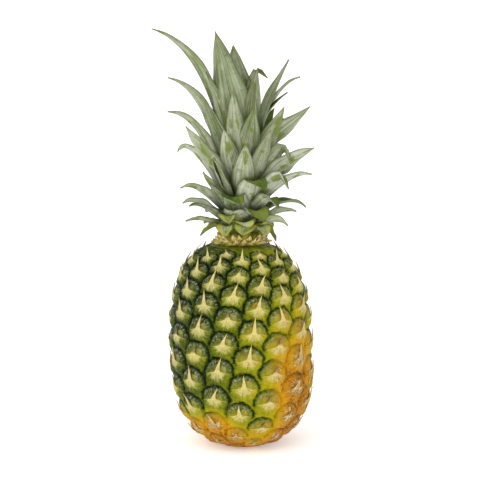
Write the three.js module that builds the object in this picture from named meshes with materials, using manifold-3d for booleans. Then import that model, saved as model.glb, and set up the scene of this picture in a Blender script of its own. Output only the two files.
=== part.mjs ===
// A ripe pineapple standing upright: the fruit with its eyes and spined bracts, the cut stalk
// in its base, the collar of withered bracts at its neck, and the leafy crown.
// Units are millimetres, +Z is up, the origin is the middle of the flat base.
// Azimuth 0 is the front (-Y) and grows towards +X.

import * as THREE from 'three';
import { mergeVertices } from 'three/addons/utils/BufferGeometryUtils.js';
import Module from 'manifold-3d';

const wasm = await Module();
wasm.setup();

// ---- driving dimensions -------------------------------------------------------------------

const fruit = {
  height: 182.5,          // base to neck
  widest: 62.0,           // radius at the waist, to the middle of the eye relief
  waist: 80,              // height of the widest place
  belowWaist: 84,         // reach of the lower curve
  aboveWaist: 107,        // reach of the upper curve
  lowerBulge: 2.2,        // how square the lower curve is
  upperBulge: 3.2,        // how square the upper curve is
  roundness: 2.4,
  lean: -0.02,            // sideways drift of the axis per millimetre of height
  tuck: 5,                // how far the foot draws in
  tuckHeight: 14,         // and how high up it does so
  swell: 2.6,             // extra fullness low on one side
  swellAzimuth: 95,
  swellHeight: 38,
  swellSpread: 34,
};

const eyes = {
  divergence: -138.06,    // degrees from one eye to the next, going up
  firstAzimuth: -18.6,
  ringCount: 13,          // eyes that meet the base, and the neck, where they are cut off
  nextRight: 5,           // an eye touches the ones 5, 8 and 13 places along the spiral
  nextLeft: 8,
  nextAbove: 13,
  rise: 1.80,             // climb from one eye to the next at the waist
  riseTaper: 0.56,        // eyes are taller near the base than near the neck
  endShrink: 0.75,        // how closely an eye's height follows its ring's size
  crowding: 0.16,         // eyes are narrower at the front than at the back
  rowTilt: 0.06,          // rows climb a little towards the right
  crestHeight: 1.9,
  shoulderHeight: 1.1,
  shoulderPlace: 0.7,     // from the crest to the corner of the cell
  grooveDepth: 1.9,
};

const bracts = {
  halfWidth: 10.5,
  waistHalfWidth: 4.0,    // where the spine meets the wings
  waistHeight: 1.9,
  spine: 13.0,
  spineVariation: 2.5,
  spineLift: 0.12,        // outward part of the spine's direction
  spineSway: 2.4,
  sideUpright: 0.35,      // near the neck the spines at the sides lie closer to the skin
  crest: 3.2,
  wingHeight: -0.6,
  lower: 8.5,
  centreDrop: 0.5,        // the bract's crest lies a little below the middle of its eye
  root: 5.0,
  endScale: 0.8,
  clearance: 0.4,         // nothing but the flat base touches the ground
};

const stalk = { radius: 12.5, sides: 20, height: 4.2, bevel: 0.8, gap: 0.35 };

const collar = {
  gap: 0.35,
  radius: 19.6,
  topRadius: 18,
  height: 11.8,
  sides: 20,
  bractThickness: 1.6,
  bractTaper: 0.8,
  channel: 0.12,
  stagger: 0.5,           // each row is turned by this share of a bract's spacing
  unevenness: 0.25,       // of the spacing, as a share of it
  drawsPerRow: 20,
  variation: 0.6,
};

// Rows of small bracts on the collar from the lowest up, heights from the collar's bottom, angles
// from upright at the root (launch) and at the tip (finish). The lowest row lies out over the neck.
const collarRows = [
  {
    count: 13, rootRadius: 18, rootHeight: 1.6, reach: 27.5, tipHeight: 3.4,
    width: 10.5, launch: 78, finish: 84,
  },
  {
    count: 17, rootRadius: 18.2, rootHeight: 2.2, reach: 23.2, tipHeight: 7.8,
    width: 8.4, launch: 50, finish: 6,
  },
  {
    count: 16, rootRadius: 17.6, rootHeight: 5.1, reach: 21.6, tipHeight: 10.7,
    width: 8.2, launch: 50, finish: 6,
  },
];

const stem = {
  bottom: 195,
  bottomRadius: 22,
  height: 74,
  topRadius: 11,
  tipHeight: 96,
  tipRadius: 3,
  sides: 14,
};

const leaves = {
  count: 66,
  skirt: 9,               // short leaves below the first
  skirtStep: 0.2,
  divergence: -137.5,
  firstAzimuth: 20,
  lowestRoot: 2.8,        // above the bottom of the stem
  highestRoot: 72,
  rootDepth: 4,           // how far a leaf's root is sunk in the stem
  widestPlace: 0.3,
  crowding: 1.25,         // leaves sit closer together low on the stem
  lowRootWidth: 0.95,     // as a share of the widest place
  highRootWidth: 0.55,
  lowTaper: 2.7,          // how blunt the low leaves are
  highTaper: 1.4,
  foldedTaper: 3.2,       // leaves whose ends fold over are blunter
  channel: 0.2,           // depth of the gutter as a share of the width
  rootThickness: 2.6,
  tipThickness: 1.2,
  shortSteps: 4,
  longSteps: 7,
  longFrom: 60,
};

// Shape of the leaves from the lowest (place 0) to the innermost (place 1):
// reach of the tip from the axis, height of the tip, start and end angle from upright, width.
const leafShapes = [
  { place: 0.00, reach: 35, height: 197, launch: 52, finish: 132, width: 19 },
  { place: 0.12, reach: 43, height: 206, launch: 54, finish: 124, width: 20 },
  { place: 0.28, reach: 52, height: 230, launch: 46, finish: 108, width: 21 },
  { place: 0.45, reach: 56, height: 266, launch: 34, finish: 76, width: 22 },
  { place: 0.60, reach: 55, height: 298, launch: 32, finish: 58, width: 22 },
  { place: 0.75, reach: 42, height: 322, launch: 22, finish: 38, width: 22 },
  { place: 0.90, reach: 24, height: 334, launch: 11, finish: 22, width: 20 },
  { place: 1.00, reach: 8, height: 334, launch: 3, finish: 9, width: 16 },
];

const leafVariation = { reach: 5, height: 7, launch: 4, finish: 14, azimuth: 5, roll: 16 };

// Leaves that stand out from the rule, by their place in the spiral. A fold turns the rest of the
// leaf over: where it starts along the leaf, its angle from upright and its turn to one side.
const oddLeaves = {
  '-8': {
    azimuth: 45, reach: 33, height: 204, launch: 60, finish: 64, width: 18, roll: 0,
    fold: { at: 0.46, angle: 150, sway: 16 },
  },
  '-5': {
    azimuth: 8, reach: 33, height: 206, launch: 54, finish: 56, width: 22, roll: -8,
    fold: { at: 0.5, angle: 148, sway: -20 },
  },
  '-2': {
    azimuth: -31, reach: 33, height: 205, launch: 60, finish: 60, width: 19, roll: 6,
    fold: { at: 0.46, angle: 150, sway: 10 },
  },
  0: {
    azimuth: 5, reach: 36, height: 206, launch: 38, finish: 90, width: 22, roll: 0,
    fold: { at: 0.7, angle: 148, sway: 45 },
  },
  1: { azimuth: -95, reach: 37, height: 190, launch: 52, finish: 134, width: 16, roll: 0 },
  2: { azimuth: 98, reach: 32, height: 185, launch: 52, finish: 150, width: 15, roll: 0 },
  3: {
    azimuth: -22, reach: 36, height: 216, launch: 34, finish: 50, width: 22, roll: 8,
    fold: { at: 0.68, angle: 142, sway: 20 },
  },
  5: { azimuth: 62, reach: 47, height: 202, launch: 62, finish: 140, width: 16, roll: -30 },
  6: { azimuth: -85, reach: 50, height: 204, launch: 76, finish: 112, width: 14, roll: 10 },
  8: { azimuth: -11, reach: 37, height: 217, launch: 32, finish: 74, width: 24, roll: 0 },
  10: { azimuth: 84, reach: 50, height: 213, launch: 62, finish: 104, width: 18, roll: -16 },
  11: { azimuth: -62, reach: 52, height: 220, launch: 66, finish: 112, width: 15, roll: 0 },
  12: { azimuth: 177, reach: 46, height: 240, launch: 34, finish: 84, width: 25, roll: 0 },
  13: {
    azimuth: 27, reach: 40, height: 219, launch: 34, finish: 66, width: 24, roll: 0,
    fold: { at: 0.6, angle: 150, sway: 25 },
  },
  14: { azimuth: -96, reach: 53, height: 219, launch: 58, finish: 122, width: 15, roll: 24 },
  15: { azimuth: 105, reach: 61, height: 214, launch: 50, finish: 140, width: 16, roll: 0 },
  16: {
    azimuth: -14, reach: 38, height: 234, launch: 28, finish: 62, width: 25, roll: 0,
    fold: { at: 0.68, angle: 146, sway: 52 },
  },
  17: { azimuth: -48, reach: 36, height: 240, launch: 22, finish: 24, width: 15, roll: 12 },
  18: {
    azimuth: 52, reach: 43, height: 232, launch: 38, finish: 66, width: 21, roll: -14,
    fold: { at: 0.66, angle: 148, sway: 25 },
  },
  19: { azimuth: -74, reach: 56, height: 235, launch: 48, finish: 118, width: 15, roll: 24 },
  // a tip folded over to the right
  21: {
    azimuth: 20, reach: 41, height: 253, launch: 24, finish: 36, width: 24, roll: 0,
    fold: { at: 0.72, angle: 148, sway: 48 },
  },
  22: { azimuth: -62, reach: 38, height: 250, launch: 22, finish: 20, width: 17, roll: 5 },
  23: { azimuth: 80, reach: 64, height: 247, launch: 46, finish: 96, width: 18, roll: -24 },
  24: { azimuth: -37, reach: 40, height: 264, launch: 30, finish: 40, width: 15, roll: -35 },
  25: { azimuth: -48, reach: 34, height: 262, launch: 14, finish: 12, width: 15, roll: -55 },
  26: {
    azimuth: 56, reach: 52, height: 256, launch: 34, finish: 44, width: 19, roll: -24,
    fold: { at: 0.74, angle: 148, sway: 10 },
  },
  27: { azimuth: -100, reach: 58, height: 265, launch: 24, finish: 150, width: 18, roll: 30 },
  29: { azimuth: 5, reach: 46, height: 277, launch: 24, finish: 20, width: 21, roll: 0 },
  31: { azimuth: 76, reach: 67, height: 271, launch: 42, finish: 66, width: 24, roll: -42 },
  32: { azimuth: -60, reach: 56, height: 291, launch: 24, finish: 32, width: 22, roll: 24 },
  34: { azimuth: 38, reach: 42, height: 288, launch: 22, finish: 22, width: 19, roll: -16 },
  35: { azimuth: -100, reach: 67, height: 301, launch: 26, finish: 88, width: 21, roll: 34 },
  36: {
    azimuth: 70, reach: 48, height: 284, launch: 26, finish: 36, width: 20, roll: -24,
    fold: { at: 0.76, angle: 146, sway: 0 },
  },
  37: { azimuth: -21, reach: 42, height: 290, launch: 18, finish: 18, width: 20, roll: 14 },
  39: { azimuth: 58, reach: 45, height: 308, launch: 18, finish: 26, width: 23, roll: -34 },
  40: { azimuth: -92, reach: 65, height: 332, launch: 18, finish: 74, width: 22, roll: 34 },
  42: { azimuth: -11, reach: 38, height: 323, launch: 14, finish: 14, width: 23, roll: 0 },
  44: { azimuth: 96, reach: 38, height: 296, launch: 24, finish: 30, width: 20, roll: -20 },
  45: { azimuth: -44, reach: 46, height: 316, launch: 14, finish: 22, width: 19, roll: 26 },
  47: { azimuth: 16, reach: 40, height: 308, launch: 16, finish: 18, width: 25, roll: -8 },
  // the long arching leaf
  48: { azimuth: -100, reach: 81, height: 375, launch: 10, finish: 72, width: 28, roll: 30 },
  49: { azimuth: 125, reach: 66, height: 331, launch: 14, finish: 80, width: 19, roll: -30 },
  // the tallest, facing forward
  50: { azimuth: -34, reach: 40, height: 374, launch: 8, finish: 17, width: 46, roll: 0 },
  52: { azimuth: 72, reach: 64, height: 308, launch: 26, finish: 44, width: 24, roll: -42 },
  53: { azimuth: -62, reach: 35, height: 338, launch: 10, finish: 26, width: 24, roll: 16 },
  // hooked tip
  54: {
    azimuth: 70, reach: 17, height: 350, launch: 4, finish: 14, width: 26, roll: 0,
    fold: { at: 0.88, angle: 125, sway: 20 },
  },
  57: { azimuth: 98, reach: 43, height: 348, launch: 14, finish: 26, width: 25, roll: -30 },
  59: { azimuth: -26, reach: 16, height: 362, launch: -2, finish: 8, width: 44, roll: 8 },
  60: { azimuth: 34, reach: 26, height: 342, launch: 8, finish: 14, width: 25, roll: -16 },
  62: { azimuth: 114, reach: 46, height: 318, launch: 16, finish: 60, width: 12, roll: 0 },
};

const smallestDetail = 0.05;  // edges left by a join are cleaned up below this size

// ---- small helpers ------------------------------------------------------------------------

const radians = THREE.MathUtils.degToRad;
const lerp = THREE.MathUtils.lerp;
const clamp = THREE.MathUtils.clamp;

// A repeatable draw between -1 and 1 for thing number index, property number kind.
function draw(index, kind) {
  const wave = Math.sin(index * 12.9898 + kind * 78.233) * 43758.5453;
  return 2 * (wave - Math.floor(wave)) - 1;
}

function around(azimuth, radius, z) {
  return new THREE.Vector3(radius * Math.sin(azimuth), -radius * Math.cos(azimuth), z);
}

// Builds a closed solid from its corners and its faces, which are lists of corner numbers.
function solidFrom(corners, faces) {
  const triangles = [];
  for (const face of faces) {
    for (let k = 1; k + 1 < face.length; k += 1) triangles.push(face[0], face[k], face[k + 1]);
  }
  return new wasm.Manifold(new wasm.Mesh({
    numProp: 3,
    vertProperties: new Float32Array(corners.flatMap((corner) => corner.toArray())),
    triVerts: new Uint32Array(triangles),
  }));
}

function solidFromGeometry(geometry) {
  const plain = geometry.index ? geometry.toNonIndexed() : geometry;
  plain.deleteAttribute('normal');
  plain.deleteAttribute('uv');
  const merged = mergeVertices(plain, 1e-4);
  return new wasm.Manifold(new wasm.Mesh({
    numProp: 3,
    vertProperties: merged.attributes.position.array,
    triVerts: new Uint32Array(merged.index.array),
  }));
}

// A round solid about the axis from its profile of [radius, height] pairs, bottom to top.
function turned(profile, sides) {
  const points = profile.map(([radius, height]) => new THREE.Vector2(radius, height));
  const geometry = new THREE.LatheGeometry(points, sides);
  geometry.rotateX(Math.PI / 2);
  return solidFromGeometry(geometry);
}

// The outer skin of the joined solids, with any hollow sealed between them filled.
function joined(solids) {
  const shells = wasm.Manifold.union(solids).simplify(smallestDetail).decompose();
  return shells.reduce((largest, shell) => (shell.volume() > largest.volume() ? shell : largest));
}

function named(name, solid, colour, roughness) {
  const mesh = solid.getMesh();
  const geometry = new THREE.BufferGeometry();
  geometry.setAttribute('position', new THREE.BufferAttribute(mesh.vertProperties, 3));
  geometry.setIndex(new THREE.BufferAttribute(mesh.triVerts, 1));
  geometry.computeVertexNormals();
  const material = new THREE.MeshStandardMaterial({ color: colour, roughness, metalness: 0 });
  const part = new THREE.Mesh(geometry, material);
  part.name = name;
  return part;
}

// ---- the fruit's surface ------------------------------------------------------------------

function fruitRadius(z) {
  const below = z < fruit.waist;
  const share = Math.abs(z - fruit.waist) / (below ? fruit.belowWaist : fruit.aboveWaist);
  const bulge = below ? fruit.lowerBulge : fruit.upperBulge;
  return fruit.widest * (1 - share ** bulge) ** (1 / fruit.roundness);
}

// The fruit's outline as evenly spaced stations, each with its distance along the outline.
const outlineSteps = 400;
const outline = [];
for (let k = 0; k <= outlineSteps; k += 1) {
  const z = (fruit.height * k) / outlineSteps;
  const radius = fruitRadius(z);
  const last = outline[k - 1];
  const along = last ? last.along + Math.hypot(z - last.z, radius - last.radius) : 0;
  outline.push({ along, z, radius });
}
const outlineLength = outline[outlineSteps].along;

function outlineAt(along) {
  const wanted = clamp(along, 0, outlineLength);
  let upper = outline.findIndex((station) => station.along >= wanted);
  upper = Math.max(upper, 1);
  const a = outline[upper - 1];
  const b = outline[upper];
  const share = (wanted - a.along) / (b.along - a.along);
  const step = b.along - a.along;
  return {
    radius: lerp(a.radius, b.radius, share),
    z: lerp(a.z, b.z, share),
    outward: (b.z - a.z) / step,
    upward: -(b.radius - a.radius) / step,
  };
}

// The point above the skin at this azimuth and distance along the outline.
function onFruit(azimuth, along, above) {
  const station = outlineAt(along);
  const z = station.z + above * station.upward;
  const facing = (1 + Math.cos(azimuth - radians(fruit.swellAzimuth))) / 2;
  const swell = fruit.swell * facing * Math.exp(-(((z - fruit.swellHeight) / fruit.swellSpread) ** 2));
  const tuck = fruit.tuck * Math.max(0, 1 - z / fruit.tuckHeight) ** 2;
  const point = around(azimuth, station.radius - tuck + swell + above * station.outward, z);
  point.x += fruit.lean * (z - fruit.height / 2);
  return point;
}

function sizeAt(along) {
  return outlineAt(along).radius / fruit.widest;
}

// The eyes' middles, climbing in one spiral from the base to the neck.
function placeEyes() {
  const { ringCount, rise, riseTaper } = eyes;
  const places = [];
  let along = 0;
  for (let index = 0; along < outlineLength; index += 1) {
    const turn = radians(eyes.firstAzimuth + index * eyes.divergence);
    const azimuth = turn - eyes.crowding * Math.sin(turn);
    const belly = Math.sin((Math.PI * along) / outlineLength);
    const tilt = eyes.rowTilt * fruit.widest * Math.sin(azimuth) * belly;
    places.push({ azimuth, along: along + tilt });
    const taper = 1 + riseTaper * (0.5 - along / outlineLength);
    if (index >= (ringCount - 1) / 2) along += rise * taper * sizeAt(along) ** eyes.endShrink;
  }
  places.slice(0, ringCount).forEach((place) => { place.along = 0; });
  places.slice(-ringCount).forEach((place) => { place.along = outlineLength; });
  return places;
}

// ---- sub-parts ----------------------------------------------------------------------------

function middleOf(places) {
  const azimuth = places[0].azimuth;
  let turn = 0;
  let along = 0;
  for (const place of places) {
    turn += Math.atan2(Math.sin(place.azimuth - azimuth), Math.cos(place.azimuth - azimuth));
    along += place.along;
  }
  return { azimuth: azimuth + turn / places.length, along: along / places.length };
}

function between(a, b, share) {
  const turn = Math.atan2(Math.sin(b.azimuth - a.azimuth), Math.cos(b.azimuth - a.azimuth));
  return { azimuth: a.azimuth + turn * share, along: lerp(a.along, b.along, share) };
}

// Each eye is a low dome in a six-sided cell, and the grooves run along the cells' edges.
function eyeSkin(places) {
  const { ringCount, nextRight, nextLeft, nextAbove } = eyes;
  const last = places.length - ringCount;
  const onRing = (index) => index < ringCount || index >= last;
  const corners = [];
  const faces = [];

  function corner(place, above) {
    corners.push(onFruit(place.azimuth, place.along, above));
    return corners.length - 1;
  }

  const crests = places.map((place, index) => {
    const above = onRing(index) ? 0 : eyes.crestHeight * sizeAt(place.along);
    return corner(place, above);
  });
  const grooves = new Map();
  function groove(a, b, c) {
    const key = [a, b, c].sort((x, y) => x - y).join();
    if (!grooves.has(key)) {
      const place = middleOf([places[a], places[b], places[c]]);
      grooves.set(key, { place, corner: corner(place, -eyes.grooveDepth * sizeAt(place.along)) });
    }
    return grooves.get(key);
  }
  const shoulders = new Map();
  function shoulder(eye, pit) {
    const key = `${eye},${pit.corner}`;
    if (!shoulders.has(key)) {
      const place = between(places[eye], pit.place, eyes.shoulderPlace);
      shoulders.set(key, corner(place, eyes.shoulderHeight * sizeAt(place.along)));
    }
    return shoulders.get(key);
  }

  // One side of the edge between two eyes, seen from an eye with the first pit on its right.
  function wedge(eye, right, left) {
    if (onRing(eye)) {
      faces.push([crests[eye], right.corner, left.corner]);
      return;
    }
    const a = shoulder(eye, right);
    const b = shoulder(eye, left);
    faces.push([crests[eye], a, b], [a, right.corner, left.corner], [a, left.corner, b]);
  }
  function edge(from, to, right, left) {
    if (right && left) {
      wedge(from, right, left);
      wedge(to, left, right);
    } else if (right) {
      faces.push([crests[from], right.corner, crests[to]]);
    } else {
      faces.push([crests[from], crests[to], left.corner]);
    }
  }
  const exists = (...indices) => indices.every((index) => index >= 0 && index < places.length);
  const pit = (...indices) => (exists(...indices) ? groove(...indices) : undefined);
  for (let n = 0; n < places.length; n += 1) {
    const right = n + nextRight;
    const left = n + nextLeft;
    const above = n + nextAbove;
    if (exists(right)) edge(n, right, pit(n - nextLeft, n, right), pit(n, right, above));
    if (exists(left)) edge(n, left, pit(n, left, above), pit(n - nextRight, n, left));
    if (exists(above)) edge(n, above, pit(n, right, above), pit(n, left, above));
  }

  // The flat ends are fans over the cut eyes, in their order round the ring.
  function cap(first, z, upward) {
    const centre = corners.length;
    corners.push(new THREE.Vector3(fruit.lean * (z - fruit.height / 2), 0, z));
    let index = 0;
    for (let k = 0; k < ringCount; k += 1) {
      const next = index + nextLeft < ringCount ? index + nextLeft : index - nextRight;
      const a = crests[first + index];
      const b = crests[first + next];
      faces.push(upward ? [centre, b, a] : [centre, a, b]);
      index = next;
    }
  }
  cap(0, 0, false);
  cap(last, fruit.height, true);
  return solidFrom(corners, faces);
}

// A bract: a low wing to each side, a keel below and one long spine that leans out and up.
function bract(place, index) {
  const scale = lerp(1, sizeAt(place.along), bracts.endScale);
  const station = outlineAt(place.along);
  const at = (right, up, above) => onFruit(
    place.azimuth + (right * scale) / station.radius,
    place.along + (up - bracts.centreDrop) * scale,
    above,
  );
  const length = (bracts.spine + bracts.spineVariation * draw(index, 1)) * scale;
  const sway = bracts.spineSway * draw(index, 2) * scale;
  const radial = around(place.azimuth, 1, 0);
  const alongSkin = radial.clone().multiplyScalar(-station.upward);
  alongSkin.z = station.outward;
  const outward = radial.clone().multiplyScalar(station.outward);
  outward.z = station.upward;
  const facing = Math.max(0, Math.cos(place.azimuth));
  const uprightShare = clamp(station.upward, 0, 1) * lerp(bracts.sideUpright, 1, facing);
  const direction = alongSkin.multiplyScalar(1 - uprightShare);
  direction.z += uprightShare;
  direction.addScaledVector(outward, bracts.spineLift).normalize();
  const crest = at(0, 0, bracts.crest * scale);
  const tip = crest.clone().addScaledVector(direction, length);
  tip.add(around(place.azimuth + Math.PI / 2, sway, 0));
  const wing = bracts.halfWidth;
  const waist = bracts.waistHalfWidth;
  const corners = [
    crest,
    at(-wing, 0, bracts.wingHeight),
    at(0, -bracts.lower, bracts.wingHeight),
    at(wing, 0, bracts.wingHeight),
    at(waist, waist, bracts.waistHeight * scale),
    tip,
    at(-waist, waist, bracts.waistHeight * scale),
    at(0, 0, -bracts.root),
  ];
  corners.forEach((corner) => { corner.z = Math.max(corner.z, bracts.clearance); });
  const faces = [];
  for (let k = 1; k <= 6; k += 1) {
    const next = (k % 6) + 1;
    faces.push([0, k, next], [7, next, k]);
  }
  return solidFrom(corners, faces);
}

function makeFruit() {
  const places = placeEyes();
  const whole = places.slice(eyes.ringCount, -eyes.ringCount);
  const skin = eyeSkin(places);
  const spined = joined([skin, ...whole.map((place, k) => bract(place, k + eyes.ringCount))]);
  const pocket = turned([
    [0, -stalk.height],
    [stalk.radius + stalk.gap, -stalk.height],
    [stalk.radius + stalk.gap, stalk.height + stalk.gap],
    [0, stalk.height + stalk.gap],
  ], stalk.sides);
  const pocketAt = fruit.lean * (0 - fruit.height / 2);
  return named('fruit', spined.subtract(pocket.translate(pocketAt, 0, 0)), 0x8a7a1c, 0.45);
}

function makeStalk() {
  const disc = turned([
    [0, 0],
    [stalk.radius - stalk.bevel, 0],
    [stalk.radius, stalk.bevel],
    [stalk.radius, stalk.height],
    [0, stalk.height],
  ], stalk.sides);
  return named('cut_stalk', disc.translate(-fruit.lean * (fruit.height / 2), 0, 0), 0x9a8a58, 0.85);
}

// Where a blade's middle runs: its point and slope in the upright plane, and its turn to one side.
function bladePath(curve, share, fold) {
  const path = { point: curve.getPoint(share), slope: curve.getTangent(share), aside: 0 };
  if (!fold || share < fold.at) return path;
  const angle = radians(fold.angle);
  const heading = new THREE.Vector2(Math.sin(angle), Math.cos(angle));
  const past = (share - fold.at) * curve.getLength();
  path.point = curve.getPoint(fold.at).addScaledVector(heading, past * Math.cos(radians(fold.sway)));
  path.slope = past > 0 ? heading : path.slope.add(heading).normalize();
  path.aside = past * Math.sin(radians(fold.sway));
  return path;
}

// A blade swept along a curve in the upright plane at its azimuth, with a ring at each share of its
// length. Its section is a gutter: two edges, a middle on the upper face and a keel on the lower face.
function blade({ azimuth, curve, width, thickness, channel, shares, roll = 0, fold }) {
  const corners = [];
  const faces = [];
  const across = around(azimuth + Math.PI / 2, 1, 0);
  const placed = ({ point, aside }) => around(azimuth, point.x, point.y).addScaledVector(across, aside);
  for (const [k, share] of shares.entries()) {
    const path = bladePath(curve, share, fold);
    const middle = placed(path);
    const inward = around(azimuth, -path.slope.y, path.slope.x);
    const turn = roll * Math.min(1, share * 2);
    const side = across.clone().multiplyScalar(Math.cos(turn)).addScaledVector(inward, Math.sin(turn));
    const upper = inward.multiplyScalar(Math.cos(turn)).addScaledVector(across, -Math.sin(turn));
    const halfWidth = width(share) / 2;
    const gutter = channel * 2 * halfWidth;
    const thick = thickness(share);
    corners.push(
      middle.clone().addScaledVector(side, -halfWidth).addScaledVector(upper, gutter),
      middle.clone().addScaledVector(upper, thick / 2),
      middle.clone().addScaledVector(side, halfWidth).addScaledVector(upper, gutter),
      middle.clone().addScaledVector(upper, -thick / 2),
    );
    if (k === 0) continue;
    const below = (k - 1) * 4;
    for (let c = 0; c < 4; c += 1) {
      const next = (c + 1) % 4;
      faces.push([below + c, below + 4 + c, below + next], [below + next, below + 4 + c, below + 4 + next]);
    }
  }
  corners.push(placed(bladePath(curve, 1, fold)));
  const lastRing = (shares.length - 1) * 4;
  for (let c = 0; c < 4; c += 1) faces.push([lastRing + ((c + 1) % 4), lastRing + c, corners.length - 1]);
  faces.push([0, 1, 3], [1, 2, 3]);
  return solidFrom(corners, faces);
}

// A curve in the upright plane from a root to a tip, with its angles from upright at both ends.
function bentCurve(root, tip, launch, finish) {
  const pull = root.distanceTo(tip) / 3;
  const heading = (angle) => new THREE.Vector2(Math.sin(radians(angle)), Math.cos(radians(angle)));
  const first = root.clone().addScaledVector(heading(launch), pull);
  const second = tip.clone().addScaledVector(heading(finish), -pull);
  return new THREE.CubicBezierCurve(root, first, second, tip);
}

function collarBract(rule, row, k) {
  const bottom = fruit.height + collar.gap;
  const index = k + collar.drawsPerRow * row;
  const place = k + collar.stagger * row + collar.unevenness * draw(index, 11);
  const azimuth = radians((360 * place) / rule.count);
  const reach = rule.reach + collar.variation * draw(index, 12);
  const height = rule.tipHeight + collar.variation * draw(index, 13);
  const root = new THREE.Vector2(rule.rootRadius, bottom + rule.rootHeight);
  const tip = new THREE.Vector2(reach, bottom + height);
  return blade({
    azimuth,
    curve: bentCurve(root, tip, rule.launch, rule.finish),
    width: (share) => rule.width * (1 - share) ** collar.bractTaper,
    thickness: () => collar.bractThickness,
    channel: collar.channel,
    shares: bladeShares(2),
  });
}

function makeCollar() {
  const bottom = fruit.height + collar.gap;
  const core = turned([
    [0, bottom],
    [collar.radius, bottom],
    [collar.topRadius, bottom + collar.height],
    [0, bottom + collar.height],
  ], collar.sides);
  const pieces = [core];
  for (const [row, rule] of collarRows.entries()) {
    for (let k = 0; k < rule.count; k += 1) pieces.push(collarBract(rule, row, k));
  }
  return named('neck_bracts', joined(pieces), 0xbfa878, 0.8);
}

function shapeAt(place) {
  const upper = Math.max(1, leafShapes.findIndex((shape) => shape.place >= place));
  const a = leafShapes[upper - 1];
  const b = leafShapes[upper];
  const share = (place - a.place) / (b.place - a.place);
  const mixed = {};
  for (const key of Object.keys(a)) mixed[key] = lerp(a[key], b[key], share);
  return mixed;
}

// Where a leaf's rings lie along it; a folded leaf has one at its fold and one halfway beyond.
function bladeShares(steps, fold) {
  if (!fold) return Array.from({ length: steps }, (_, k) => k / steps);
  const before = Array.from({ length: steps }, (_, k) => (fold.at * k) / steps);
  return [...before, fold.at, (1 + fold.at) / 2];
}

function crownLeaf(index) {
  const place = Math.max(0, index / (leaves.count - 1));
  const shape = shapeAt(place);
  for (const [kind, key] of ['reach', 'height', 'launch', 'finish'].entries()) {
    shape[key] += leafVariation[key] * draw(index, 21 + kind) * (1 - 0.5 * place);
  }
  shape.azimuth = leaves.firstAzimuth + index * leaves.divergence + leafVariation.azimuth * draw(index, 25);
  shape.roll = leafVariation.roll * draw(index, 26);
  Object.assign(shape, oddLeaves[index]);
  const climb = place ** leaves.crowding;
  const lowering = leaves.skirtStep * Math.min(0, index);
  const rootHeight = stem.bottom + lerp(leaves.lowestRoot, leaves.highestRoot, climb) + lowering;
  const stemRadius = lerp(stem.bottomRadius, stem.topRadius, (rootHeight - stem.bottom) / stem.height);
  const root = new THREE.Vector2(stemRadius - leaves.rootDepth, rootHeight);
  const tip = new THREE.Vector2(shape.reach, shape.height);
  const rootWidth = lerp(leaves.lowRootWidth, leaves.highRootWidth, Math.min(1, 2 * place));
  const taper = shape.fold ? leaves.foldedTaper : lerp(leaves.lowTaper, leaves.highTaper, place);
  const narrowing = (share) => (share < leaves.widestPlace
    ? lerp(rootWidth, 1, Math.sin((Math.PI / 2) * (share / leaves.widestPlace)))
    : 1 - ((share - leaves.widestPlace) / (1 - leaves.widestPlace)) ** taper);
  const steps = root.distanceTo(tip) > leaves.longFrom ? leaves.longSteps : leaves.shortSteps;
  return blade({
    azimuth: radians(shape.azimuth),
    curve: bentCurve(root, tip, shape.launch, shape.finish),
    width: (share) => shape.width * narrowing(share),
    thickness: (share) => lerp(leaves.rootThickness, leaves.tipThickness, share),
    channel: leaves.channel,
    shares: bladeShares(steps, shape.fold),
    roll: radians(shape.roll),
    fold: shape.fold,
  });
}

function makeCrown() {
  const core = turned([
    [0, stem.bottom],
    [stem.bottomRadius, stem.bottom],
    [stem.topRadius, stem.bottom + stem.height],
    [stem.tipRadius, stem.bottom + stem.tipHeight],
    [0, stem.bottom + stem.tipHeight],
  ], stem.sides);
  const pieces = [core];
  for (let index = -leaves.skirt; index < leaves.count; index += 1) pieces.push(crownLeaf(index));
  return named('crown', joined(pieces), 0x8f9a76, 0.6);
}

const group = new THREE.Group();
group.add(makeFruit());
group.add(makeStalk());
group.add(makeCollar());
group.add(makeCrown());

export default group;
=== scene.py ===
import math
import bpy
import numpy as np
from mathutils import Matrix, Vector


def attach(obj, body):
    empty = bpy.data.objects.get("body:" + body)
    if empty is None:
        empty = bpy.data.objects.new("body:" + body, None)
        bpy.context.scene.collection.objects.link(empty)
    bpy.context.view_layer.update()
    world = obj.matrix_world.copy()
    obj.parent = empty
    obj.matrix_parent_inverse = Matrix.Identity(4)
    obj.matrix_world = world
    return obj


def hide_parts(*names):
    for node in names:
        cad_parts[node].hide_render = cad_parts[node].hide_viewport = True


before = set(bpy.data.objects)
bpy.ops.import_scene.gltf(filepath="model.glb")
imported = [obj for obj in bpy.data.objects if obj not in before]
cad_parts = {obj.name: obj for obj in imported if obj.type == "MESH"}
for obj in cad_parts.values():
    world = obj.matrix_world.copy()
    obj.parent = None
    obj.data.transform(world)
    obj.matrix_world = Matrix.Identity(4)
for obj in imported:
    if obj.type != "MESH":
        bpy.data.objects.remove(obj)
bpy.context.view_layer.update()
print("frame loaded:", ", ".join(sorted(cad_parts)))

# Shapes are worked out in millimetres and turned into metres as their meshes are made.
# Azimuth 0 is the front, facing -Y, and grows towards +X.
metresPerMillimetre = 0.001
nearAxis = 0.01               # turned forms close this near to their axis


def draw(index, kind):
    # A repeatable draw between -1 and 1.
    wave = math.sin(index * 12.9898 + kind * 78.233) * 43758.5453
    return 2 * (wave - math.floor(wave)) - 1


def drawEach(index, kinds):
    return {name: draw(index, kind) for name, kind in kinds.items()}


def lerp(low, high, share):
    return low + (high - low) * share


def ease(value, low, high):
    share = np.clip((value - low) / (high - low), 0, 1)
    return share * share * (3 - 2 * share)


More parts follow.
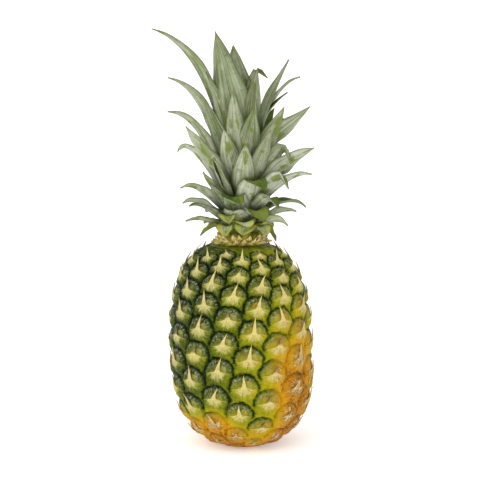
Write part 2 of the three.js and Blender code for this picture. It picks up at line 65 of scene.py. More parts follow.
def around(azimuth, radius, z):
    azimuth, radius, z = np.broadcast_arrays(azimuth, radius, z)
    return np.stack([radius * np.sin(azimuth), -radius * np.cos(azimuth), z], axis=-1)


def unit(vectors):
    return vectors / np.linalg.norm(vectors, axis=-1, keepdims=True)


def linear(hexColour):
    parts = [int(hexColour[k:k + 2], 16) / 255 for k in (1, 3, 5)]
    return tuple(p / 12.92 if p <= 0.04045 else ((p + 0.055) / 1.055) ** 2.4 for p in parts) + (1.0,)


def addObject(name, data):
    made = bpy.data.objects.new(name, data)
    bpy.context.scene.collection.objects.link(made)
    return made


view = {
    "distance": 1.6,
    "elevation": 8.0,
    "aim": (-0.0009, 0, 0.1864),
    "fieldWidth": 0.432,      # what the frame takes in at the fruit's axis
    "sensor": 36.0,
    "clipEnd": 500,
}


def makeCamera():
    camera = addObject("camera", bpy.data.cameras.new("camera"))
    slope = math.radians(view["elevation"])
    back = Vector((0, -math.cos(slope), math.sin(slope)))
    camera.location = Vector(view["aim"]) + back * view["distance"]
    camera.rotation_euler = (math.pi / 2 - slope, 0, 0)
    camera.data.sensor_width = view["sensor"]
    camera.data.lens = view["sensor"] * view["distance"] / view["fieldWidth"]
    camera.data.clip_end = view["clipEnd"]
    bpy.context.scene.camera = camera


studio = {
    "room": 0.76,
    "sun": 1.35,              # a broad soft light from the upper left of the camera
    "sunAngle": 75.0,
    "sunFrom": (-0.42, -0.95, 0.8),
    "floorSize": 30.0,
    "wallHeight": 3.5,
    "floor": "#fcfcfc",
    "floorCloud": "#fefefe",
    "floorRoughness": 0.8,
    "floorGlow": 0.3,         # the floor is lit from below, so it takes hardly any shadow
}


def makeStudio():
    world = bpy.data.worlds.new("room")
    world.use_nodes = True
    sky = world.node_tree.nodes["Background"].inputs
    sky["Color"].default_value = (1, 1, 1, 1)
    sky["Strength"].default_value = studio["room"]
    bpy.context.scene.world = world
    lamp = bpy.data.lights.new("softSun", "SUN")
    lamp.energy = studio["sun"]
    lamp.angle = math.radians(studio["sunAngle"])
    sunFrom = Vector(studio["sunFrom"])
    addObject("softSun", lamp).rotation_euler = sunFrom.to_track_quat("Z", "Y").to_euler()
    paint = Finish("paleFloor", 0.2, studio)
    cloud = paint.noise(paint.place(), 3.0, 2.0, 0.5)
    paint.colour = paint.mix(cloud, "floor", "floorCloud")
    paint.finishWith(studio["floorRoughness"])
    paint.shader.inputs["Emission Color"].default_value = (1, 1, 1, 1)
    paint.shader.inputs["Emission Strength"].default_value = studio["floorGlow"]
    half = studio["floorSize"] / 2
    corners = [(-half, -half), (half, -half), (half, half), (-half, half)]

    def makeSheets(name, levels, faces):
        mesh = bpy.data.meshes.new(name)
        mesh.from_pydata([(x, y, z) for z in levels for x, y in corners], [], faces)
        mesh.materials.append(paint.material)
        return addObject(name, mesh)

    floor = makeSheets("floor", [0], [(0, 1, 2, 3)])
    wallFaces = [(k + 4, (k + 1) % 4 + 4, (k + 1) % 4, k) for k in range(4)]
    wall = makeSheets("wall", [0, studio["wallHeight"]], wallFaces)


class Wire:
    # One socket, so that sums on values can be written as they are said.
    def __init__(self, finish, socket):
        self.finish = finish
        self.socket = socket

    def __abs__(self):
        return self.finish.sum("ABSOLUTE", self, 0.0)


for sign, operation in (("add", "ADD"), ("sub", "SUBTRACT"), ("mul", "MULTIPLY"), ("pow", "POWER")):
    setattr(Wire, f"__{sign}__", lambda one, other, kind=operation: one.finish.sum(kind, one, other))
    setattr(Wire, f"__r{sign}__", lambda one, other, kind=operation: one.finish.sum(kind, other, one))


class Finish:
    # A material whose nodes are made as they are needed; colours may be named from its palette.
    def __init__(self, name, specular, palette):
        self.material = bpy.data.materials.new(name)
        self.material.use_nodes = True
        self.tree = self.material.node_tree
        self.shader = self.tree.nodes["Principled BSDF"]
        self.shader.inputs["Specular IOR Level"].default_value = specular
        self.palette = palette

    def feed(self, socket, value):
        # A wire is linked, a colour or a number is set.
        if isinstance(value, Wire):
            self.tree.links.new(value.socket, socket)
        elif isinstance(value, str):
            socket.default_value = linear(self.palette.get(value, value))
        else:
            socket.default_value = value

    def node(self, kind, settings, values, output=0):
        made = self.tree.nodes.new(kind)
        for key, setting in settings.items():
            if key != "stops":
                setattr(made, key, setting)
        for index, (place, colour) in enumerate(settings.get("stops", ())):
            elements = made.color_ramp.elements
            stop = elements[index] if index < 2 else elements.new(place)
            stop.position = place
            stop.color = linear(colour)
        for key, value in values.items():
            self.feed(made.inputs[key], value)
        return Wire(self, made.outputs[output])

    def sum(self, operation, first, second):
        return self.node("ShaderNodeMath", {"operation": operation}, {0: first, 1: second})

    def place(self):
        return self.node("ShaderNodeTexCoord", {}, {}, "Object")

    def read(self, name):
        return self.node("ShaderNodeAttribute", {"attribute_name": name}, {}, "Fac")

    def ease(self, value, low, high, start=0.0, end=1.0):
        return self.node("ShaderNodeMapRange", {"interpolation_type": "SMOOTHSTEP"}, {
            "Value": value, "From Min": low, "From Max": high, "To Min": start, "To Max": end})

    def fade(self, value, low, high, start=1.0):
        return self.ease(value, low, high, start, 0.0)

    def ramp(self, value, name):
        return self.node("ShaderNodeValToRGB", {"stops": self.palette[name]}, {"Fac": value})

    def mix(self, share, first, second):
        return self.node("ShaderNodeMix", {"data_type": "RGBA"}, {0: share, 6: first, 7: second}, 2)

    def coat(self, share, colour):
        # One more coat over the colour so far.
        self.colour = self.mix(share, self.colour, colour)

    def noise(self, vector, scale, detail=3.0, roughness=0.55):
        return self.node("ShaderNodeTexNoise", {}, {
            "Vector": vector, "Scale": scale, "Detail": detail, "Roughness": roughness})

    def vector(self, x, y, z):
        return self.node("ShaderNodeCombineXYZ", {}, {0: x, 1: y, 2: z})

    def finishWith(self, roughness, height=None, distance=0.0, strength=0.0):
        self.feed(self.shader.inputs["Base Color"], self.colour)
        self.feed(self.shader.inputs["Roughness"], roughness)
        if height is not None:
            bump = {"Height": height, "Distance": distance, "Strength": strength}
            self.feed(self.shader.inputs["Normal"], self.node("ShaderNodeBump", {}, bump))


def makePiece(name, node, points, faces, finish, fields=None, cornerFields=None):
    # points in millimetres, faces as an array of triangles or quads
    mesh = bpy.data.meshes.new(name)
    points = np.asarray(points, dtype=np.float64) * metresPerMillimetre
    faces = np.asarray(faces, dtype=np.int32)
    sides = faces.shape[1]
    mesh.vertices.add(len(points))
    mesh.vertices.foreach_set("co", points.astype(np.float32).ravel())
    mesh.loops.add(faces.size)
    mesh.loops.foreach_set("vertex_index", faces.ravel())
    mesh.polygons.add(len(faces))
    mesh.polygons.foreach_set("loop_start", np.arange(0, faces.size, sides, dtype=np.int32))
    mesh.update(calc_edges=True)
    for domain, values in (("POINT", fields or {}), ("CORNER", cornerFields or {})):
        for key, data in values.items():
            layer = mesh.attributes.new(key, "FLOAT", domain)
            layer.data.foreach_set("value", np.asarray(data, dtype=np.float32).ravel())
    mesh.validate()
    mesh.shade_smooth()
    mesh.materials.append(finish.material)
    piece = addObject(name, mesh)
    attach(piece, "root")
    if node:
        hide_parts(node)
    print(f"{name}: {len(points)} points, {len(faces) * (sides - 2)} triangles")


def quads(index):
    # The four-sided faces of a grid of point numbers.
    corners = [index[:-1, :-1], index[:-1, 1:], index[1:, 1:], index[1:, :-1]]
    return np.stack(corners, axis=-1).reshape(-1, 4)


def turnedForm(profile, turns, bottom, reshape):
    # A closed form turned round the axis; reshape gives each ring's radius by direction.
    direction = np.linspace(0, 2 * math.pi, turns, endpoint=False)
    rings = [around(direction, reshape(radius, direction), bottom + z) for radius, z in profile]
    index = np.arange(turns * len(profile)).reshape(len(profile), turns)
    return np.concatenate(rings), quads(np.concatenate([index, index[:, :1]], axis=1))


class Sheaf:
    # Gathers many small closed grids into one mesh.
    def __init__(self):
        self.points = []
        self.faces = []
        self.fields = {}
        self.count = 0

    def add(self, points, faces, fields):
        self.points.append(points)
        self.faces.append(faces + self.count)
        self.count += len(points)
        for key, values in fields.items():
            self.fields.setdefault(key, []).append(np.broadcast_to(values, len(points)))

    def addSlab(self, upper, lower, fields):
        # Two grids of rows and columns, joined round their edge into one closed slab.
        rows, columns = upper.shape[:2]
        index = np.arange(rows * columns).reshape(rows, columns)
        under = index + rows * columns
        rim = np.concatenate([index[0, :], index[1:, -1], index[-1, -2::-1], index[-2:0:-1, 0]])
        rimNext = np.roll(rim, -1)
        wall = np.stack([rim, rim + rows * columns, rimNext + rows * columns, rimNext], axis=1)
        points = np.concatenate([upper.reshape(-1, 3), lower.reshape(-1, 3)])
        both = {}
        for key, values in fields.items():
            # a pair gives the upper and the lower side a value each
            sides = values if isinstance(values, tuple) else (values, values)
            both[key] = np.concatenate([np.broadcast_to(side, (rows, columns)).ravel() for side in sides])
        self.add(points, np.concatenate([quads(index), quads(under)[:, ::-1], wall]), both)

    def piece(self, name, slot, node, finish):
        fields = {key: np.concatenate(values) for key, values in self.fields.items()}
        makePiece(name, node, np.concatenate(self.points), np.concatenate(self.faces), finish, fields)


fruit = {
    "height": 182.5,
    "widest": 62.0,
    "waist": 80.0,
    "belowWaist": 84.0,
    "aboveWaist": 107.0,
    "lowerBulge": 2.2,
    "upperBulge": 3.2,
    "roundness": 2.4,
    "lean": -0.02,
    "tuck": 5.0,              # how far the foot draws in
    "tuckHeight": 14.0,
    "swell": 2.6,
    "swellAzimuth": 95.0,
    "swellHeight": 38.0,
    "swellSpread": 34.0,
    "outlineSteps": 400,
}


def fruitRadius(z):
    below = z < fruit["waist"]
    share = np.abs(z - fruit["waist"]) / np.where(below, fruit["belowWaist"], fruit["aboveWaist"])
    bulge = np.where(below, fruit["lowerBulge"], fruit["upperBulge"])
    return fruit["widest"] * (1 - share ** bulge) ** (1 / fruit["roundness"])


outlineZ = np.linspace(0, fruit["height"], fruit["outlineSteps"] + 1)
outlineRadius = fruitRadius(outlineZ)
outlineAlong = np.concatenate([[0], np.cumsum(np.hypot(np.diff(outlineZ), np.diff(outlineRadius)))])
outlineOutward = np.gradient(outlineZ, outlineAlong)
outlineUpward = -np.gradient(outlineRadius, outlineAlong)
outlineLength = outlineAlong[-1]


def outlineAt(along):
    return [np.interp(along, outlineAlong, values)
            for values in (outlineRadius, outlineZ, outlineOutward, outlineUpward)]


def sizeAt(along):
    return outlineAt(along)[0] / fruit["widest"]


def leanAt(z):
    return fruit["lean"] * (z - fruit["height"] / 2)


def onFruit(azimuth, along, above):
    radius, z, outward, upward = outlineAt(along)
    z = z + above * upward
    facing = (1 + np.cos(azimuth - math.radians(fruit["swellAzimuth"]))) / 2
    swell = fruit["swell"] * facing * np.exp(-(((z - fruit["swellHeight"]) / fruit["swellSpread"]) ** 2))
    tuck = fruit["tuck"] * np.maximum(0, 1 - z / fruit["tuckHeight"]) ** 2
    points = around(azimuth, radius - tuck + swell + above * outward, z)
    points[..., 0] += leanAt(z)
    return points


eyes = {
    "divergence": -138.06,
    "firstAzimuth": -18.6,
    "ringCount": 13,
    "nextRight": 5,
    "nextLeft": 8,
    "nextAbove": 13,
    "rise": 1.80,
    "riseTaper": 0.56,
    "endShrink": 0.75,
    "crowding": 0.16,
    "rowTilt": 0.06,
    "crestHeight": 2.2,
    "grooveDepth": 1.9,
    "grooveHalfWidth": 0.085,
    "grooveStart": -0.05,     # how far up its sides each arch begins
    "grooveFade": 0.35,       # how soon it dies out below that
    "footFade": 6.0,          # the relief dies out over this length at the base
    "neckFade": 3.0,
    "archHalfWidth": 13.4,
    "archHeight": 12.6,
    "archFullness": 3.0,      # how flat-topped each eye is
    "scallops": (5, 0.03),    # how many round the arch, and how deep
    "scallopGrain": (11, 0.02),
    "lobes": 3,
    "lobeHeight": 0.5,
    "lobeStart": (0, 3),
    "withered": (0.45, 0.6),  # draws from which a bract begins to wither, and is all dry
    "toneVariation": 0.06,
    "toneEnds": (0.7, 1.1),
    "clearOfBract": 3.0,      # what counts as well above a bract
    "steps": 13,              # subdivisions from an eye's middle to its edge
    "weldsPerMillimetre": 1000,
}
eyeDrawKinds = {"length": 1, "sway": 2, "tone": 5, "grain": 6, "curl": 7, "scallop": 8, "fine": 9,
                "withered": 10}


def placeEyes():
    azimuths, alongs = [], []
    along, index = 0.0, 0
    while along < outlineLength:
        turn = math.radians(eyes["firstAzimuth"] + index * eyes["divergence"])
        azimuth = turn - eyes["crowding"] * math.sin(turn)
        window = math.sin(math.pi * along / outlineLength)
        azimuths.append(azimuth)
        alongs.append(along + eyes["rowTilt"] * fruit["widest"] * math.sin(azimuth) * window)
        taper = 1 + eyes["riseTaper"] * (0.5 - along / outlineLength)
        if index >= (eyes["ringCount"] - 1) / 2:
            along += eyes["rise"] * taper * float(sizeAt(along)) ** eyes["endShrink"]
        index += 1
    alongs = np.array(alongs)
    alongs[:eyes["ringCount"]] = 0
    alongs[-eyes["ringCount"]:] = outlineLength
    return np.array(azimuths), alongs


eyeAzimuth, eyeAlong = placeEyes()
eyeCount = len(eyeAzimuth)
lastRing = eyeCount - eyes["ringCount"]
eyeSize = sizeAt(eyeAlong)
# Eyes are broader round the back, where fewer of them share the ring.
eyeBreadth = (1 - eyes["crowding"] * np.cos(eyeAzimuth)) / (1 - eyes["crowding"])
eyeDraws = {name: np.array([draw(eye, kind) for eye in range(eyeCount)])
            for name, kind in eyeDrawKinds.items()}


def turnBetween(first, second):
    return np.arctan2(np.sin(second - first), np.cos(second - first))


def pitOf(indices):
    # Where the cells of three eyes meet.
    start = eyeAzimuth[indices[0]]
    turns = [turnBetween(start, eyeAzimuth[k]) for k in indices]
    return start + sum(turns) / 3, sum(eyeAlong[k] for k in indices) / 3


def eyeNeighbours():
    # Each edge between two eyes, with the pits at its right and left ends seen from the first eye.
    right, left, above = eyes["nextRight"], eyes["nextLeft"], eyes["nextAbove"]
    inside = lambda *indices: indices if min(indices) >= 0 and max(indices) < eyeCount else None
    for n in range(eyeCount):
        for other, pitRight, pitLeft in (
            (n + right, inside(n - left, n, n + right), inside(n, n + right, n + above)),
            (n + left, inside(n, n + left, n + above), inside(n - right, n, n + left)),
            (n + above, inside(n, n + right, n + above), inside(n, n + left, n + above)),
        ):
            if other < eyeCount:
                yield n, other, pitRight, pitLeft


def eyePlace(eye, azimuth, along):
    # Where a spot lies from an eye's middle, to the right and up, as on a middling eye.
    radius = outlineAt(along)[0]
    x = turnBetween(eyeAzimuth[eye], azimuth) * radius / (eyeSize[eye] * eyeBreadth[eye])
    return x, (along - eyeAlong[eye]) / eyeSize[eye]


def archShare(eye, x, y):
    # 0 in the middle of an eye and 1 on the arch that bounds it
    angle = np.arctan2(y, x)
    (count, depth), (fineCount, fineDepth) = eyes["scallops"], eyes["scallopGrain"]
    scallop = 1 + depth * np.sin(count * angle + 4 * eyeDraws["scallop"][eye])
    scallop = scallop + fineDepth * np.sin(fineCount * angle + 9 * eyeDraws["fine"][eye])
    return np.hypot(x / eyes["archHalfWidth"], y / eyes["archHeight"]) / scallop


def reliefAt(azimuth, along, eye):
    # The domes of the eye and of all its neighbours, with the groove that runs over each of them.
    outOfReach = 9.0
    dome = np.zeros(np.shape(azimuth))
    away = np.full(np.shape(azimuth), outOfReach)
    steps = (eyes["nextRight"], eyes["nextLeft"], eyes["nextAbove"])
    for step in (0, *steps, *[-step for step in steps]):
        other = np.clip(eye + step, 0, eyeCount - 1)
        real = other == eye + step
        x, y = eyePlace(other, azimuth, along)
        share = archShare(other, x, y)
        dome = np.maximum(dome, real * np.clip(1 - share ** eyes["archFullness"], 0, 1))
        fading = eyes["grooveFade"] * np.maximum(0, eyes["grooveStart"] - y / eyes["archHeight"])
        away = np.minimum(away, np.where(real, np.hypot(share - 1, fading), outOfReach))
    size = sizeAt(along)
    window = ease(along, 0, eyes["footFade"]) * ease(outlineLength - along, 0, eyes["neckFade"])
    groove = np.exp(-((away / eyes["grooveHalfWidth"]) ** 2))
    return dome * eyes["crestHeight"] * size * window, groove * eyes["grooveDepth"] * size * window, away


ripening = {
    "start": 0.36,
    "sideAzimuth": 55,
    "side": 0.17,
    # amount, azimuth and its spread, height and its spread
    "frontPatch": (0.50, 54, 27, 62, 44),
    "backPatch": (0.35, 175, 40, 40, 40),
    "base": 0.62,
    "baseHeight": 52,
    "baseWaves": ((14, 2.0, 0.6), (7, 5.0, 0.0)),  # height, count and start of each wave of its edge
    "shoulder": 0.09,
    "shoulderHeights": (115, 165),
}


def ripeness(azimuth, z):
    # 0 is dark green, 1 is gold: ripest low on the right of the front, and all round the base
    turn = np.degrees(turnBetween(0.0, azimuth))

    def patch(across, amount, middle, spread, height, tallness):
        return amount * np.exp(-((across - middle) / spread) ** 2 - ((z - height) / tallness) ** 2)

    waves = sum(height * np.sin(azimuth * count + start) for height, count, start in ripening["baseWaves"])
    ripe = ripening["start"] + ripening["side"] * np.cos(np.radians(turn - ripening["sideAzimuth"]))
    ripe = ripe + patch(turn, *ripening["frontPatch"]) + patch(np.abs(turn), *ripening["backPatch"])
    ripe = ripe + ripening["base"] * (1 - ease(z + waves, 0, ripening["baseHeight"]))
    return ripe - ripening["shoulder"] * ease(z, *ripening["shoulderHeights"])


stalk = {
    "radius": 12.5,
    "gap": 0.35,
    "height": 4.2,
    "bevel": 0.8,
    "rings": (4.0, 8.0),      # radii of the rings of points on its cut face
    "waves": (5, 9),          # how many round its edge
    "unevenness": 0.015,
    "turns": 64,
    "fibres": [(0.2, "#5f4a26"), (0.5, "#a8925c"), (0.85, "#cdbb86")],
}
endFields = {"ripe": 0.45, "away": 0.2, "share": 1.3, "eyeY": -14.0}  # plain green skin on the two ends


def makeFruitSkin(finish):
    steps = eyes["steps"]
    grid = [(i, j) for i in range(steps + 1) for j in range(steps + 1 - i)]
    number = {pair: k for k, pair in enumerate(grid)}
    small = []
    for i, j in grid:
        if i + j < steps:
            small.append((number[i, j], number[i + 1, j], number[i, j + 1]))
        if i + j < steps - 1:
            small.append((number[i + 1, j], number[i + 1, j + 1], number[i, j + 1]))
    small = np.array(small)
    towardA, towardB = np.array(grid).T / steps
    patches = []

    def addPatch(eye, first, second):
        # A triangle of skin from an eye's middle to two places on its edge.
        azimuth, along = eyeAzimuth[eye], eyeAlong[eye]
        turn = towardA * turnBetween(azimuth, first[0]) + towardB * turnBetween(azimuth, second[0])
        climb = towardA * (first[1] - along) + towardB * (second[1] - along)
        patches.append((np.full(len(grid), eye), azimuth + turn, along + climb))

    for n, other, pitRight, pitLeft in eyeNeighbours():
        if pitRight and pitLeft:
            a, b = pitOf(pitRight), pitOf(pitLeft)
            addPatch(n, a, b)
            addPatch(other, b, a)
            continue
        # On the rings the edge between two cut eyes closes with one triangle.
        end = (eyeAzimuth[other], eyeAlong[other])
        if pitRight:
            addPatch(n, pitOf(pitRight), end)
        else:
            addPatch(n, end, pitOf(pitLeft))
    eye, azimuth, along = [np.concatenate(values) for values in zip(*patches)]
    faces = np.concatenate([small + k * len(grid) for k in range(len(patches))])
    dome, groove, away = reliefAt(azimuth, along, eye)
    x, y = eyePlace(eye, azimuth, along)
    share = archShare(eye, x, y)
    whole = (eye >= eyes["ringCount"]) & (eye < lastRing)
    lobes = eyes["lobeHeight"] * np.cos(eyes["lobes"] * (np.arctan2(y, x) - math.pi / 2))
    lobes = lobes * np.clip(share * (1 - share) * 4, 0, 1) * ease(y, *eyes["lobeStart"]) * whole
    points = onFruit(azimuth, along, dome - groove + lobes * sizeAt(along))
    tone = eyes["toneVariation"] * eyeDraws["tone"][eye] * (1 - ease(share, *eyes["toneEnds"]))
    overBract = y - marginAt(eye, np.maximum(np.abs(x), bracts["spineHalfWidth"]))
    corners = {
        "eyeX": x, "eyeY": y, "share": share, "away": away, "eyeDraw": eyeDraws["grain"][eye],
        "ripe": ripeness(azimuth, outlineAt(along)[1]) + tone,
        "above": np.where(whole, overBract, eyes["clearOfBract"]),
    }
    cornerFields = {key: values[faces].ravel() for key, values in corners.items()}
    # Points that neighbouring patches share become one.
    keys = np.round(points * eyes["weldsPerMillimetre"]).astype(np.int64)
    _, firsts, inverse = np.unique(keys, axis=0, return_index=True, return_inverse=True)
    points, faces, extra = closeEnds(points[firsts], inverse.ravel()[faces])
    for key, values in cornerFields.items():
        cornerFields[key] = np.concatenate([values, np.full(extra * 3, endFields.get(key, 0.0))])
    makePiece("fruitSkin", "fruit", points, faces, finish, cornerFields=cornerFields)


def closeEnds(points, faces):
    # The flat base runs in to the pocket round the stalk; the neck end is closed by a plain fan.
    onRing = 2e-3
    newPoints, newFaces = [points], [faces]
    count = len(points)
    pocket, ceiling = stalk["radius"] + stalk["gap"], stalk["height"] + stalk["gap"]
    for z, insets in (
        (0.0, [(pocket, 0.0), (pocket, ceiling), (0, ceiling)]),
        (fruit["height"], [(0, fruit["height"])]),
    ):
        middle = leanAt(z)
        ring = np.flatnonzero(np.abs(points[:, 2] - z) < onRing)
        direction = np.arctan2(points[ring, 0] - middle, -points[ring, 1])
        order = np.argsort(direction)
        last, direction = ring[order], direction[order]
        for radius, level in insets:
            if radius:
                loop = around(direction, radius, level)
                loop[:, 0] += middle
                newPoints.append(loop)
                fresh = count + np.arange(len(loop))
            else:
                newPoints.append(np.array([[middle, 0, level]]))
                fresh = np.full(len(last), count)
            count += len(newPoints[-1])
            nextLast, nextFresh = np.roll(last, -1), np.roll(fresh, -1)
            strips = [np.stack([last, nextLast, fresh], axis=1)]
            if radius:
                strips.append(np.stack([nextLast, nextFresh, fresh], axis=1))
            strip = np.concatenate(strips)
            newFaces.append(strip if z else strip[:, ::-1])
            last = fresh
    allFaces = np.concatenate(newFaces)
    return np.concatenate(newPoints), allFaces, len(allFaces) - len(faces)


bracts = {
    "halfWidth": 13.2,
    "spine": 12.0,
    "spineVariation": 2.5,
    "spineSway": 4.6,
    "spineHalfWidth": 2.35,
    "spinePower": 1.5,        # how hollow the spine's sides are
    "spineThickness": 1.3,
    "spineCurl": 0.12,        # how far spines turn outwards
    "curlVariation": 0.5,
    "spineBow": 1.4,          # how late they sway to one side
    "sideShortening": 0.35,   # spines are shorter at the two sides
    "witherShortening": 0.5,
    "fillet": 4.0,
    "filletWidth": 4.9,
    "wingDroop": 0.9,
    "teeth": (0.25, 1.9),     # their depth and pace
    "teethStart": (3, 5),
    "ridgeHalfWidth": 3.4,
    "ridgeStart": (-1.5, 2.5),
    "ridgeTaper": 0.7,
    "drop": 9.5,              # how far the bract reaches below its wings
    "lip": 0.3,
    "skinTop": 1.2,           # above this the spine leaves the skin
    "lift": 1.0,
    "sunk": -0.6,
    "thickness": (2.2, 0.35),  # below the wings, and on the spine
    "thinning": (-2, 1.5),    # heights over which the one turns into the other
    "liftedBy": 0.45,         # the share of its rows by which it has risen from the skin
    "wingEnds": (7, 13),      # the wings sink back into the skin over this
    "wingSinking": 0.8,
    "grooveShare": 0.4,       # how far it dips where the skin has a groove
    "upright": 0.35,          # how far spines at the neck stand up at the back
    "columns": [0, 0.3, 0.7, 1.15, 1.7, 2.4, 3.4, 4.6, 6.2, 8.3, 10.8, 13.2],
    "rows": 13,
    "endScale": 0.8,
    "footScale": 0.55,        # how small the lowest ones are
    "footHeights": (2, 18),
    "clearance": 0.4,         # from the ground
}


def drynessOf(eye):
    # Some bracts have withered: their spines are short and brown.
    return ease(eyeDraws["withered"][eye], *eyes["withered"])


def spineShape(eye):
    side = bracts["sideShortening"] * np.abs(np.sin(eyeAzimuth[eye])) ** 4
    length = bracts["spine"] + bracts["spineVariation"] * eyeDraws["length"][eye]
    length = length * (1 - bracts["witherShortening"] * drynessOf(eye)) * (1 - side)
    return length, bracts["spineSway"] * eyeDraws["sway"][eye]


def marginAt(eye, x):
    # Height of a bract's upper edge: wings that rise to a long narrow spine.
    length, _ = spineShape(eye)
    x = np.abs(x)
    spine = length * np.clip(1 - x / bracts["spineHalfWidth"], 0, 1) ** bracts["spinePower"]
    fillet = bracts["fillet"] * np.exp(-x / bracts["filletWidth"]) - bracts["wingDroop"]
    depth, pace = bracts["teeth"]
    teeth = depth * np.sin(x * pace + 9 * eyeDraws["scallop"][eye]) * ease(x, *bracts["teethStart"])
    return spine + fillet + teeth


def makeBracts(finish):
    half = np.array(bracts["columns"])
    xTop = np.concatenate([-half[:0:-1], half])
    rows = np.linspace(0, 1, bracts["rows"])[:, None]
    footScale, skinTop = bracts["footScale"], bracts["skinTop"]
    sheaf = Sheaf()
    for eye in range(eyes["ringCount"], lastRing):
        radius, z, outward, upward = [float(value) for value in outlineAt(eyeAlong[eye])]
        scale = lerp(1, radius / fruit["widest"], bracts["endScale"])
        scale = scale * lerp(footScale, 1, float(ease(z, *bracts["footHeights"])))
        length, sway = spineShape(eye)
        top = marginAt(eye, xTop)
        bottom = -bracts["drop"] * (1 - (np.abs(xTop) / bracts["halfWidth"]) ** 2) - bracts["lip"]
        y = lerp(bottom, top, rows)
        x = xTop + 0 * y
        skinY = np.minimum(y, skinTop)
        azimuth = eyeAzimuth[eye] + x * scale * eyeBreadth[eye] / radius
        along = eyeAlong[eye] + skinY * scale
        dome, groove, away = reliefAt(azimuth, along, eye)
        lift = lerp(bracts["sunk"], bracts["lift"], ease(rows, 0, bracts["liftedBy"]))
        lift = lift * (1 - bracts["wingSinking"] * ease(np.abs(x), *bracts["wingEnds"])) * scale
        base = onFruit(azimuth, along, dome - bracts["grooveShare"] * groove + lift)
        radial = around(eyeAzimuth[eye], 1.0, 0.0)
        alongSkin = radial * -upward + np.array([0, 0, outward])
        normal = radial * outward + np.array([0, 0, upward])
        # Spines near the neck stand up at the front and lie flatter at the sides and back.
        upright = max(upward, 0) * lerp(bracts["upright"], 1, max(math.cos(eyeAzimuth[eye]), 0))
        direction = unit(alongSkin * (1 - upright) + np.array([0, 0, upright]))
        rise = (np.maximum(y - skinTop, 0) * scale)[..., None]
        reach = rise / (length * scale)
        across = around(eyeAzimuth[eye] + math.pi / 2, 1.0, 0.0)
        curl = bracts["spineCurl"] * (1 + bracts["curlVariation"] * eyeDraws["curl"][eye])
        curl = curl * (1 - abs(math.sin(eyeAzimuth[eye])) ** 4)
        bow = across * sway * scale * reach ** bracts["spineBow"]
        upper = base + direction * rise + normal * rise * reach * curl + bow
        ridge = bracts["spineThickness"] * (1 - bracts["ridgeTaper"] * np.clip(y / length, 0, 1))
        ridge = ridge * np.clip(1 - (np.abs(x) / bracts["ridgeHalfWidth"]) ** 2, 0, 1)
        ridge = ridge * ease(y, *bracts["ridgeStart"])
        thickness = lerp(*bracts["thickness"], ease(y, *bracts["thinning"]))
        lower = upper - normal * (thickness * scale)[..., None]
        upper = upper + normal * (ridge * scale)[..., None]
        for sheet in (upper, lower):
            sheet[..., 2] = np.maximum(sheet[..., 2], bracts["clearance"])
        sheaf.addSlab(upper, lower, {
            "eyeX": x, "eyeY": y, "share": archShare(eye, x, y), "away": away,
            "eyeDraw": eyeDraws["grain"][eye], "below": top - y, "spine": np.clip(y / length, 0, 1),
            "under": (0.0, 1.0), "dry": drynessOf(eye),
            "ripe": ripeness(azimuth, z + skinY) + eyes["toneVariation"] * eyeDraws["tone"][eye],
        })
    sheaf.piece("eyeBracts", "rind", None, finish)


# Ramps run over how ripe a place is.
rindColours = {
    "tissue": [(0.0, "#1b280a"), (0.3, "#384804"), (0.42, "#5f6c02"), (0.52, "#888a00"),
               (0.62, "#a69a00"), (0.72, "#c49600"), (0.84, "#ca8c00"), (1.0, "#a86a02")],
    "dome": [(0.0, "#121c0a"), (0.3, "#222e0a"), (0.42, "#3c4608"), (0.56, "#6c6c06"),
             (0.7, "#a48000"), (0.84, "#c68800"), (1.0, "#aa6a02")],
    "groove": [(0.0, "#020702"), (0.35, "#061503"), (0.5, "#102a04"), (0.6, "#2e4e04"),
               (0.7, "#9a8404"), (0.86, "#a87204"), (1.0, "#4a2806")],
    "wing": [(0.0, "#667034"), (0.3, "#84882a"), (0.5, "#a8a224"),
             (0.66, "#b89e22"), (0.8, "#b88e20"), (1.0, "#a67a2c")],
    "cream": [(0.0, "#b0ae80"), (0.5, "#cfc074"), (0.75, "#ccb478"), (1.0, "#bfa274")],
    "spine": [(0.0, "#cec286"), (0.5, "#decc84"), (0.75, "#dac088"), (1.0, "#c8aa7a")],
    "shade": [(0.0, "#10180a"), (0.5, "#2e380c"), (0.72, "#6a4408"), (1.0, "#4c2806")],
    "shred": "#a8834c",
    "paleShred": "#e6d2a8",
    # waxy bloom with painted sheen on the domes
    "bloomAndSheen": "#9ca684",
    # painted highlight on the domes
    "patch": "#b4b268",
    "pale": "#bebc86",
    "mauve": "#a0785e",
    "brown": "#50280c",
    "orange": "#c98a08",
    "gold": "#e2b42a",
}

# Scale, detail and roughness of each kind of grain.
rindGrain = {
    "ripe": (55.0, 3.0),
    "cracks": (140.0, 4.0, 0.7),
    "shreds": (190.0, 5.0, 0.75),
    "patchy": (260.0, 3.0, 0.6),
    "blur": (330.0, 3.0, 0.7),
    "pits": (420.0, 2.0),
    "wander": (520.0, 1.0, 0.4),
    "mottle": (620.0, 4.0, 0.72),
    "fleck": (1100.0, 3.0, 0.65),
}


